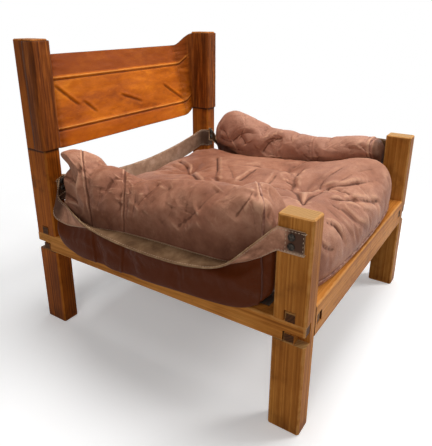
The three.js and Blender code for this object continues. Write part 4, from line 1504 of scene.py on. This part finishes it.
def makeArm(name):
    a, arm = armSettings, arms[name]
    points, faces, (_, t, h) = armShape(name)
    made = meshObject(f"arm_cushion_{name}_leather", armClear(points, name), faces)
    held = np.zeros(len(points))
    for seam in arm["seams"]:
        held = np.maximum(held, seam[2] ** 0.5 * bell(fromSeam(points, seam), 0.006))
    held = np.maximum(held, smoothStep(0.55, 0.9, -h) * 0.95)
    held = np.maximum(held, smoothStep(0.93, 0.99, np.abs(t)) * 0.6)
    settle(made, held, a["pressure"], a["cap"])
    subdivided(made)
    lift, dark = ringDetail(pointsOf(made), arm["seams"])
    flat = pointsOf(made)
    rough = smoothNoise(flat, 13.0, 2.0 + arm["side"]) * 0.0030 + smoothNoise(flat, 30.0, 6.0) * 0.0010
    lift += rough * smoothStep(0.27, 0.33, flat[:, 2])
    setPoints(made, flat + normalsOf(made) * lift[:, None])
    dark = np.maximum(dark, drawFolds(made, arm["folds"], a["creaseShade"]))
    setPoints(made, armClear(pointsOf(made), name))
    finishSkin(made, dark)
    final = pointsOf(made)
    out = np.abs(final[:, 0])
    # painted shade: darker towards the strap on the outer side, below the waist on the inner side, and on the
    # front end of an arm that has a waist
    deep = 0.38 * smoothStep(0.34, 0.38, out) * (1 - smoothStep(0.0, 0.10, -belowLine(final)))
    if "waist" in arm:
        lower = profile(arm["waist"], final[:, 1]) - final[:, 2]
        deep = np.maximum(deep, smoothStep(-0.002, 0.014, lower) * (out < a["centre"]))
        deep = np.maximum(deep, 0.8 * smoothStep(0.003, 0.009, -fromSeam(final, arm["seams"][0])))
    setAttribute(made, "deep", deep)
    # paler where it is not shaded: painted light, much stronger on the far arm
    setAttribute(made, "pale", (1 - deep) * arm["pale"])
    markUnder(made)
    seamName = f"arm_cushion_{name}_front_piping"
    piping = ringPiping(made, seamName, arm["seams"][0], arm["side"] * a["centre"])
    declare("cushion_leather", f"arm_cushion_{name}", made, piping)
    return [made, piping]


def ringPiping(thing, name, seam, x0):
    # a piped edge round a cushion's end, standing on its skin
    y0, slope, _, inward = seam
    tree = treeOf(thing)
    heights = pointsOf(thing)[:, 2]
    z0 = (heights.min() + heights.max()) / 2 + 0.01
    path = []
    for k in range(120):
        angle = 2 * math.pi * k / 120
        way = Vector((math.cos(angle), 0, math.sin(angle)))
        y = y0
        for _ in range(3):
            hit = tree.ray_cast(Vector((x0, y, z0)) + way * 0.2, -way, 0.2)[0]
            if hit is None:
                break
            y = y0 + slope * (hit.z - seamHeight) + inward * (seamOut - abs(hit.x))
        if hit is not None:
            path.append(tuple(hit + way * 0.0006))
    made = tube(name, softenedRing(np.array(path)), armSettings["piping"])
    markUnder(made)
    return made


def finishSkin(thing, dark):
    # stores where the leather is creased and where it stands proud, for the painted shade in its creases and
    # hollows and the painted highlight on its crests
    points, normals = pointsOf(thing), normalsOf(thing)
    edges = np.zeros(len(thing.data.edges) * 2, np.int32)
    thing.data.edges.foreach_get("vertices", edges)
    a, b = edges.reshape(-1, 2).T

    def gathered(atFirst, atSecond):
        # at each point, the sum of what its edges hold for it
        sums = np.bincount(a, weights=atFirst, minlength=len(points))
        return sums + np.bincount(b, weights=atSecond, minlength=len(points))

    count = np.maximum(gathered(None, None), 1)
    gap = points[b] - points[a]
    length = np.maximum(np.linalg.norm(gap, axis=1), 1e-9)
    slopes = [np.sum(gap * normals[end], axis=1) / length for end in (a, b)]
    bend = gathered(-slopes[0], slopes[1]) / count
    for _ in range(2):
        bend = bend * 0.5 + 0.5 * gathered(bend[b], bend[a]) / count
    setAttribute(thing, "fold", dark)
    setAttribute(thing, "crest", np.clip(bend * 3.0, -1, 1))


seatSettings = {
    "narrow": 0.288,
    "wide": 0.334,
    "front": -0.404,
    "back": 0.3135,
    "bottom": 0.2722,
    "seam": 0.3016,
    "frontTop": 0.412,
    "backTop": 0.362,
    "crown": 0.012,
    "bow": 0.018,
    "steps": (84, 100, 18),
    "webTop": 0.2718,
    "railBack": -0.3614,
    "railTop": 0.2928,
    "powers": (9, 5.6),
    "widensFrom": (0.8, 0.92),
    "sideBow": 0.012,
    "pinch": 0.005,
    "pinchHeight": 0.012,
    "pressure": 3.0,
    "cap": 0.012,
    "creaseShade": 0.009,
    "piping": 0.0024,
}
# swellings and tufts: across, along, how high or deep, and how wide
lobes = [
    (0.255, -0.315, 0.030, 0.085),
    (0.275, -0.335, 0.017, 0.052),
    (-0.235, -0.300, 0.016, 0.085),
    (0.12, -0.31, 0.008, 0.07),
    (0.235, 0.250, 0.022, 0.075),
]
tufts = [
    (0.0, -0.229, 0.024, 0.055),
    (0.144, -0.114, 0.016, 0.045),
    (-0.144, -0.114, 0.020, 0.05),
    (0.0, 0.14, 0.014, 0.06),
]
seatFolds = [
    foldRow(0.0072, 0.0065, 0.28,
        [(305, 166), (298, 173), (294.4, 184.4), (297.8, 193.6), (303.5, 202.8)], (0.2, 0.05), 0.7),
    foldRow(0.0088, 0.0065, 0.24,
        [(303.5, 202.8), (308, 198), (313.8, 193.6), (327.6, 187.9),
        (346, 183.8), (358, 182.6), (372, 181.5)], (0.05, 0.2), 0.8),
    foldRow(0.004, 0.0072, 0.28, [(311.6, 195), (320.7, 184.4), (332.2, 173), (346, 165)]),
    foldRow(0.0024, 0.0086, 0.21, [(336, 184), (350, 175), (364, 170), (378, 168)]),
    foldRow(0.0056, 0.005, 0.28, [(287, 181), (288.6, 181.8), (290.2, 182.4)], (0.05, 0.05)),
    foldRow(0.0048, 0.0065, 0.24, [(301, 200), (291, 196), (281, 195), (268, 197)], (0.05, 0.4)),
    foldRow(0.004, 0.0058, 0.21, [(268, 184.4), (275, 176), (281.7, 170.7)]),
    foldRow(0.0072, 0.0058, 0.24,
        [(322, 198), (340, 198.6), (355, 199.4), (368, 200.3), (380.4, 200.8), (391, 201.5)], (0.3, 0.1)),
    foldRow(0.0072, 0.0043, 0.32,
        [(325.3, 222), (331, 222.8), (336, 225.5), (339.5, 230.5), (342, 236), (346, 245)], (0.2, 0.5)),
    foldRow(0.004, 0.0036, 0.32, [(322, 243), (325, 247), (329.6, 249), (335.5, 248.7)]),
    foldRow(0.007, 0.006, 0.25, [(180, 161), (187, 167), (193, 174), (199, 180.6)], (0.04, 0.04), 1),
    foldRow(0.005, 0.006, 0.25, [(217.2, 157.8), (217.4, 168), (217.2, 182)], (0.05, 0.1), 0.8),
    foldRow(0.0024, 0.0065, 0.21, [(228, 164), (232, 172), (234, 181)]),
    foldRow(0.0056, 0.0058, 0.21, [(238.2, 181), (248, 174), (257, 168)]),
    foldRow(0.0032, 0.0072, 0.24, [(330, 203), (345, 211), (360, 223), (370, 234)]),
    foldRow(0.0032, 0.0065, 0.24, [(345, 203), (360, 208), (374, 215), (385, 224)]),
    foldRow(0.0024, 0.0072, 0.24, [(325, 206), (338, 217), (348, 228), (354, 240)]),
    foldRow(0.0024, 0.0072, 0.21, [(392, 178), (380, 180), (368, 181)]),
    foldRow(0.0056, 0.0072, 0.5, [(0, -0.22, 0.37), (-0.07, -0.17, 0.38), (-0.144, -0.114, 0.37)]),
    foldRow(0.0048, 0.0072, 0.5, [(-0.144, -0.114, 0.37), (-0.2, -0.08, 0.37), (-0.26, -0.06, 0.36)]),
    foldRow(0.0048, 0.0072, 0.5, [(-0.144, -0.114, 0.37), (-0.18, -0.2, 0.38), (-0.2, -0.28, 0.39)]),
    foldRow(0.0048, 0.0079, 0.5, [(0, 0.14, 0.36), (0.08, 0.18, 0.355), (0.17, 0.2, 0.35)]),
    foldRow(0.0048, 0.0079, 0.5, [(0, 0.14, 0.36), (-0.09, 0.17, 0.355), (-0.17, 0.21, 0.35)]),
    foldRow(0.0032, 0.0079, 0.5, [(0, 0.14, 0.36), (0, 0.06, 0.37), (0, -0.06, 0.38)]),
]


def makeSeat():
    b = seatSettings
    unitPoints, faces = boxGrid(b["steps"])
    length = rounded(unitPoints[:, 0], unitPoints[:, 1], unitPoints[:, 2], *b["powers"])
    s, t, h = (unitPoints / length[:, None]).T
    middle, half = (b["front"] + b["back"]) / 2, (b["back"] - b["front"]) / 2
    ear = smoothStep(*b["widensFrom"], -t)
    wide = b["narrow"] + ear * (b["wide"] - b["narrow"])
    x = s * wide * (1 - b["sideBow"] * (1 - t * t))
    y = middle + t * half + b["bow"] * s * s * np.clip(-t, 0, 1)
    top = b["frontTop"] + (b["backTop"] - b["frontTop"]) * (t + 1) / 2 - b["seam"]
    crown = b["crown"] * h * (1 - s * s) * (1 - t * t)
    rise = np.where(h > 0, h * top + crown, h * (b["seam"] - b["bottom"]))
    for tx, ty, height, radius in lobes:
        rise = rise + np.clip(h, 0, 1) * height * np.exp(-(((x - tx) ** 2 + (y - ty) ** 2) / radius**2))
    for tx, ty, depth, radius in tufts:
        away = np.hypot(x - tx, y - ty)
        rise = rise - np.clip(h, 0, 1) * depth * np.exp(-((away / radius) ** 1.4))
    pinch = 1 - b["pinch"] / wide * bell(rise, b["pinchHeight"])
    x = x * pinch
    points = np.stack([x, y, b["seam"] + rise], axis=1)
    made = meshObject("seat_cushion_leather", seatClear(points), faces)
    held = bell(rise, 0.007)
    held = np.maximum(held, smoothStep(0.2, 0.5, -h))
    for tx, ty, _, _ in tufts:
        away = np.hypot(x - tx, y - ty)
        held = np.maximum(held, np.where(h > 0, bell(away, 0.012), 0))
    settle(made, held, b["pressure"], b["cap"])
    subdivided(made)
    flat = pointsOf(made)
    upper = smoothStep(0.30, 0.33, flat[:, 2])
    lift = (smoothNoise(flat, 12.0, 4.0) * 0.0030 + smoothNoise(flat, 30.0, 9.0) * 0.0010) * upper
    outward = np.maximum(np.abs(flat[:, 0]), np.abs(flat[:, 1]) * 0.75)
    seam = bell(flat[:, 2] - b["seam"], 0.003) * smoothStep(0.2, 0.27, outward)
    setPoints(made, flat + normalsOf(made) * (lift - seam * 0.0012)[:, None])
    # painted shade along the folds and along the side seam's groove
    dark = np.maximum(drawFolds(made, seatFolds, b["creaseShade"]), seam * 0.7)
    setPoints(made, seatClear(pointsOf(made)))
    finishSkin(made, dark)
    # paler towards the front, a painted light, and darker towards the back, a painted shade
    along = pointsOf(made)[:, 1]
    setAttribute(made, "pale", 0.12 * smoothStep(0.0, 0.28, -along))
    setAttribute(made, "deep", 0.14 * smoothStep(0.0, 0.20, along))
    tree = treeOf(made)
    path = []
    for k in range(420):
        angle = 2 * math.pi * k / 420
        way = Vector((math.cos(angle), math.sin(angle), 0))
        hit = tree.ray_cast(Vector((0, middle, b["seam"])) + way * 0.6, -way, 0.6)[0]
        if hit is not None:
            path.append(tuple(hit + way * 0.0004))
    path = np.array(path)
    path = evenPath(np.concatenate([path, path[:1]]), 601)[:-1]
    piping = tube("seat_cushion_piping", softenedRing(path), b["piping"])
    declare("cushion_leather", "seat_cushion", made, piping)
    return [made, piping]


def seatClear(points):
    # stands on the webs and behind the rails' inner edges, and laps on the front rail
    b = seatSettings
    low = (points[:, 1] < b["railBack"]) & (points[:, 2] < b["railTop"])
    points[low, 2] = b["railTop"]
    points[:, 2] = np.maximum(points[:, 2], b["webTop"])
    for post in ("post_front_right", "post_front_left", "post_back_right", "post_back_left"):
        points = keepOutside(points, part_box(post))
    return points


strapTrees = {name: treeOf(straps[name][0]) for name in ("right", "left")}
cushions = {"right": makeArm("right"), "left": makeArm("left"), "seat": makeSeat()}
print("cushions made:", len(cushions))


# Leather, webbing and metal


def cushionLeather():
    f = Finish("cushion_leather")
    warped = f.warped(0.02, 9.0)
    cloud = f.noise(7.0, warped, 4.0, 0.6)
    mottle = f.noise(38.0, warped, 4.0, 0.65)
    colour = f.ramp(cloud * 0.65 + mottle * 0.35, [
        (0.30, 119, 72, 54),
        (0.46, 147, 96, 73),
        (0.58, 170, 119, 94),
        (0.74, 197, 148, 121),
    ])
    # painted light: paler on the arms, most on the far arm, and towards the seat's front
    colour = f.mixed(f.attribute("pale"), colour, srgb(214, 168, 148))
    fold = f.attribute("fold")
    crest = f.attribute("crest")
    # painted shade in the creases, seam grooves and hollows
    colour = f.mixed(fold.between(0.05, 0.9) * 0.84, colour, srgb(54, 29, 20))
    colour = f.mixed(crest.falling(-0.25, -0.03) * 0.6, colour, srgb(84, 48, 34))
    # paler on crests, partly worn and partly a painted highlight, and on scuffed patches
    scuffs = f.noise(90.0, f.stretched((1.0, 2.2, 1.0)), 4.0, 0.7).between(0.56, 0.72)
    patchy = f.noise(11.0, None, 2.0).between(0.5, 0.66)
    worn = crest.between(0.05, 0.25) * 0.55 + scuffs * patchy * 0.32
    colour = f.mixed(worn, colour, srgb(208, 159, 128))
    # below the straps the leather is a darker, more orange brown, and darker still with painted shade from
    # the strap
    under = f.attribute("under") * (0.88 + mottle * 0.2)
    colour = f.mixed(under, colour, srgb(98, 41, 7))
    # painted shade on the arms and towards the seat's back
    colour = f.mixed(f.attribute("deep") * 0.8, colour, srgb(40, 20, 14))
    wrinkle = f.cells(120.0, f.warped(0.006, 60.0)).between(0.0, 0.16)
    fine = f.cells(620.0).between(0.0, 0.22)
    crackle = f.noise(16.0, None, 2.0).between(0.42, 0.62)
    colour = f.mixed((1 - wrinkle) * crackle * 0.16, colour, srgb(86, 51, 37))
    rough = 0.33 + mottle * 0.2 + fold * 0.15 - crest.between(0.05, 0.3) * 0.06
    first = f.bump(fine, 0.00022, 0.35)
    second = f.bump(wrinkle * crackle, 0.0005, 0.4, first)
    normal = f.bump(mottle, 0.0016, 0.35, second)
    return f.done(colour, rough, normal, specular=0.06)


def pipingLeather():
    f = Finish("piping_leather")
    cloud = f.noise(60.0, None, 3.0)
    colour = f.ramp(cloud, [(0.35, 110, 66, 52), (0.55, 158, 110, 90), (0.7, 196, 152, 130)])
    # below the straps, a darker brown with painted shade
    colour = f.mixed(f.attribute("under"), colour, srgb(70, 30, 12))
    return f.done(colour, 0.45 + cloud * 0.15, f.bump(f.noise(500.0), 0.0003, 0.4), specular=0.22)


def slingLeather():
    f = Finish("sling_leather")
    panel, rise = f.attribute("panel"), f.attribute("rise")
    streakPlace = f.warped(0.03, 6.0, f.stretched((1.0, 1.0, 2.6)))
    cloud = f.noise(5.0, streakPlace, 4.0, 0.55)
    mottle = f.noise(30.0, streakPlace, 5.0, 0.65)
    tone = cloud * 0.6 + mottle * 0.4
    colour = f.ramp(tone, [
        (0.30, 128, 56, 4),
        (0.44, 168, 82, 6),
        (0.56, 192, 100, 10),
        (0.72, 222, 130, 26),
    ])
    topBand = rise.between(0.76, 0.78) * 0.65
    colour = f.mixed(topBand, colour, srgb(130, 58, 22))
    lowBand = rise.falling(0.19, 0.215) * 0.25
    colour = f.mixed(lowBand, colour, srgb(174, 82, 16))
    low, high = slingSettings["panel"]
    # each ridge has a painted shadow line below it and a painted highlight along its top
    for ridge in slingSettings["ridges"]:
        above = (rise - ridge) * (high - low)
        line = above.band(-0.0095, -0.0070, -0.0056, -0.0034)
        colour = f.mixed(line * 0.6, colour, srgb(62, 26, 4))
        ridgeHighlight = above.band(-0.0028, -0.0008, 0.0008, 0.0028)
        colour = f.mixed(ridgeHighlight * 0.7, colour, srgb(232, 154, 72))
    # dark stains and slashes on the panel
    stainPlace = f.shifted(f.stretched((1.0, 1.0, 1.5)), (3.1, 0.0, 1.2))
    stain = f.noise(9.0, stainPlace, 3.0, 0.6).between(0.60, 0.72)
    colour = f.mixed(stain * 0.4, colour, srgb(115, 49, 11))
    scratchPlace = f.stretched((60.0, 60.0, 420.0), f.warped(0.01, 12.0))
    scratches = f.noise(1.0, scratchPlace, 3.0, 0.6).between(0.62, 0.74)
    colour = f.mixed(scratches * 0.3, colour, srgb(224, 139, 55))
    sleeve = panel.falling(0.02, 0.5)
    sleeveStreak = f.noise(1.0, f.stretched((150.0, 150.0, 9.0)), 4.0, 0.65)
    sleeveColour = f.ramp(sleeveStreak, [
        (0.3, 71, 33, 8),
        (0.5, 116, 58, 16),
        (0.64, 147, 79, 25),
        (0.8, 187, 112, 43),
    ])
    # the flares are darker, with short wrinkles across them
    flare = f.attribute("flare")
    colour = f.mixed(flare * 0.42, colour, srgb(92, 44, 12))
    # painted shade in the panel's creases
    colour = f.mixed(f.attribute("dent") * 0.7, colour, srgb(74, 30, 6))
    colour = f.mixed(sleeve, colour, sleeveColour)
    # painted shade where the sleeve goes into the post's groove
    colour = f.mixed(f.attribute("tucked") * 0.85, colour, srgb(30, 16, 8))
    rough = 0.36 + mottle * 0.18 + sleeve * 0.12
    fine = f.cells(700.0).between(0.0, 0.2)
    normal = f.bump(mottle, 0.0012, 0.35, f.bump(fine, 0.0002, 0.3))
    return f.done(colour, rough, normal, specular=0.10)


def slingEdge():
    # the sling's cut edge is dark brown, as painted shade under the sleeve
    f = Finish("sling_cut_edge_painted_shade")
    cloud = f.noise(60.0, None, 3.0)
    colour = f.ramp(cloud, [(0.35, 38, 20, 10), (0.7, 92, 52, 24)])
    return f.done(colour, 0.75, f.bump(f.noise(500.0), 0.0004, 0.4), specular=0.1)


def strapGrain():
    # the smooth side of a strap
    f = Finish("strap_grain_side")
    run, span = f.attribute("run"), f.attribute("span")
    cloud = f.noise(26.0, f.warped(0.01, 20.0), 4.0, 0.65)
    colour = f.ramp(cloud, [(0.3, 125, 83, 64), (0.5, 173, 122, 96), (0.68, 213, 158, 128)])
    # painted shade in a band where the strap turns round the back post; the doubled end is darker, scuffed
    # along its lower edge, and the rim is worn light
    colour = f.mixed(run.between(0.68, 0.715) * 0.8, colour, srgb(44, 26, 18))
    patch = run.falling(0.026, 0.044)
    colour = f.mixed(patch * (0.7 + cloud * 0.4), colour, srgb(56, 36, 26))
    scuff = patch * (span + cloud * 0.02).falling(0.010, 0.020)
    colour = f.mixed(scuff * 0.7, colour, srgb(205, 168, 140))
    colour = f.mixed((span + cloud * 0.002).falling(0.0020, 0.0036) * 0.8, colour, srgb(200, 164, 138))
    fine = f.cells(650.0).between(0.0, 0.2)
    return f.done(colour, 0.5 + cloud * 0.15, f.bump(fine, 0.0002, 0.35), specular=0.10)


def strapSuede():
    # the rough side of a strap
    f = Finish("strap_suede_side")
    cloud = f.noise(22.0, f.warped(0.01, 20.0), 4.0, 0.65)
    nap = f.noise(900.0, None, 2.0, 0.7)
    colour = f.ramp(cloud * 0.75 + nap * 0.25, [(0.34, 80, 56, 38), (0.5, 110, 82, 58), (0.66, 140, 110, 82)])
    # painted shade in a band where the strap turns round the back post
    colour = f.mixed(f.attribute("run").between(0.68, 0.715) * 0.8, colour, srgb(44, 26, 18))
    rim = (f.attribute("span") + cloud * 0.002).falling(0.0022, 0.0040)
    colour = f.mixed(rim * 0.85, colour, srgb(206, 168, 134))
    return f.done(colour, 0.9, f.bump(nap, 0.0006, 0.6), specular=0.05)


def strapEdge():
    f = Finish("strap_cut_edge")
    cloud = f.noise(70.0, None, 4.0, 0.6)
    colour = f.ramp(cloud, [(0.35, 140, 104, 72), (0.6, 196, 160, 124), (0.75, 218, 188, 156)])
    colour = f.mixed(f.attribute("span").between(0.02, 0.03) * 0.6, colour, srgb(112, 84, 56))
    return f.done(colour, 0.8, f.bump(f.noise(600.0), 0.0005, 0.5), specular=0.2)


def backStrapLeather():
    f = Finish("back_strap_leather")
    cloud = f.noise(18.0, f.warped(0.012, 16.0), 4.0, 0.65)
    colour = f.ramp(cloud, [(0.32, 138, 104, 82), (0.5, 174, 138, 112), (0.68, 206, 172, 148)])
    run = f.attribute("run")
    ends = run.falling(0.035, 0.085) + run.between(0.675, 0.725)
    colour = f.mixed(ends * 0.85, colour, srgb(52, 32, 20))
    return f.done(colour, 0.6 + cloud * 0.2, f.bump(f.noise(420.0, None, 3.0), 0.0004, 0.5), specular=0.2)


def threadFinish():
    f = Finish("waxed_thread")
    cloud = f.noise(120.0, None, 2.0)
    colour = f.ramp(cloud, [(0.35, 176, 148, 120), (0.65, 206, 180, 150)])
    return f.done(colour, 0.7, f.bump(f.noise(1500.0), 0.0002, 0.4))


def webbingFinish():
    f = Finish("woven_webbing")
    run, span = f.attribute("run"), f.attribute("span")

    def wave(value, size):
        return f.maths("SINE", value * (6.2832 / size)) * 0.5 + 0.5

    warp = wave(span, 0.0022)
    weft = wave(run + span * 0.5, 0.0030)
    weave = f.maths("MAXIMUM", warp * weft, (1 - warp) * (1 - weft))
    stripe = span.band(0.007, 0.008, 0.011, 0.012)
    other = span.band(0.038, 0.039, 0.042, 0.043)
    colour = f.ramp(weave, [(0.1, 34, 25, 17), (0.6, 66, 51, 37), (1.0, 90, 73, 53)])
    colour = f.mixed((stripe + other) * 0.7, colour, srgb(78, 44, 30))
    return f.done(colour, 0.88, f.bump(weave, 0.0008, 0.7))


def metalFinish():
    f = Finish("dark_metal")
    cloud = f.noise(220.0, None, 4.0, 0.6)
    colour = f.ramp(cloud, [(0.35, 30, 26, 23), (0.55, 52, 46, 40), (0.72, 88, 78, 66)])
    metal = 0.9 - cloud.between(0.5, 0.7) * 0.35
    rough = 0.36 + cloud * 0.25
    return f.done(colour, rough, f.bump(cloud, 0.0003, 0.4), metallic=metal)


def dressSoft():
    cushion, piping, slingSkin = cushionLeather(), pipingLeather(), slingLeather()
    grain, suede, edge, thread = strapGrain(), strapSuede(), strapEdge(), threadFinish()
    backGrain, weave, metal = backStrapLeather(), webbingFinish(), metalFinish()
    for pieces in cushions.values():
        dressKeeping(pieces[0], cushion)
        dressKeeping(pieces[1], piping)
    dressKeeping(sling, slingSkin, slingSkin, slingEdge())
    for name, (strap, sewn) in straps.items():
        if name == "back":
            dressKeeping(strap, backGrain, backGrain, edge)
        elif name == "right":
            dressKeeping(strap, suede, grain, edge)
        else:
            dressKeeping(strap, grain, suede, edge)
        dressKeeping(sewn, thread)
    for web in webs:
        dressKeeping(web, weave, weave, weave)
    for head in heads:
        dressKeeping(head, metal)
    print("soft goods dressed")


def dressKeeping(thing, *finishes):
    # gives the finishes and keeps which face has which
    kinds = np.zeros(len(thing.data.polygons), np.int32)
    thing.data.polygons.foreach_get("material_index", kinds)
    dress(thing, *finishes)
    thing.data.polygons.foreach_set("material_index", np.minimum(kinds, len(finishes) - 1))


dressSoft()

# Lights and floor

lampSettings = {
    "overhead": {"place": (0.25, -0.1, 2.4), "aim": (0, 0, 0.3), "size": 1.6, "power": 46},
    "frontRight": {"place": (1.9, -2.4, 1.9), "aim": (0, 0, 0.35), "size": 1.1, "power": 50},
    "nearSide": {"place": (-2.8, -1.2, 1.9), "aim": (0, 0, 0.4), "size": 1.4, "power": 24},
}
roomSettings = {
    "worldLight": 0.16,
    "floorTone": 0.95,
    "bounceTone": 0.50,
    "floorLift": 0.225,
    "floorSize": 60.0,
    "shadowReach": (0.75, 1.5),
}


def makeLamp(name, lamp):
    data = bpy.data.lights.new(name, "AREA")
    data.shape = "DISK"
    data.size = lamp["size"]
    data.energy = lamp["power"]
    made = bpy.data.objects.new(name, data)
    made.location = lamp["place"]
    made.rotation_euler = (Vector(lamp["aim"]) - Vector(lamp["place"])).to_track_quat("-Z", "Y").to_euler()
    scene.collection.objects.link(made)


def seenDirectly(finish):
    # 1 where the camera, a mirror-like surface or glass sees it, and 0 where it only lights
    kinds = ("Camera", "Glossy", "Transmission")
    rays = [finish.node("ShaderNodeLightPath", output=f"Is {kind} Ray") for kind in kinds]
    return finish.maths("MAXIMUM", finish.maths("MAXIMUM", *rays[:2]), rays[2])


def makeRoom():
    for name, lamp in lampSettings.items():
        makeLamp(name, lamp)
    world = bpy.data.worlds.new("studio")
    scene.world = world
    world.use_nodes = True
    air = Finish("studio_air", world.node_tree)
    strength = seenDirectly(air).between(0.0, 1.0, roomSettings["worldLight"], 1.0)
    background = air.node("ShaderNodeBackground", {}, {"Color": (1, 1, 1, 1), "Strength": strength})
    air.node("ShaderNodeOutputWorld", {}, {"Surface": background})
    f = Finish("pale_floor")
    seen = seenDirectly(f)
    tones = [(tone, tone, tone, 1) for tone in (roomSettings["bounceTone"], roomSettings["floorTone"])]
    lit = f.node("ShaderNodeBsdfDiffuse", {}, {"Color": f.mixed(seen, *tones)})
    glow = f.node("ShaderNodeEmission", {}, {"Strength": seen * roomSettings["floorLift"]})
    near = f.node("ShaderNodeAddShader", {}, [lit, glow])
    # far from the chair the floor is plain white, so that it meets the background without a line
    away = f.vectorMaths("LENGTH", f.place, output="Value")
    far = away.between(*roomSettings["shadowReach"]) * seen
    white = f.node("ShaderNodeEmission", {}, {"Strength": 1.0})
    both = f.node("ShaderNodeMixShader", {}, [far, near, white])
    f.node("ShaderNodeOutputMaterial", {}, {"Surface": both})
    half = roomSettings["floorSize"] / 2
    corners = [(-half, -half, 0), (half, -half, 0), (half, half, 0), (-half, half, 0)]
    floor = meshObject("floor", corners, [(0, 1, 2, 3)], smooth=False)
    dress(floor, f.material)
    scene.view_settings.view_transform = "Standard"
    print("room made")


makeRoom()
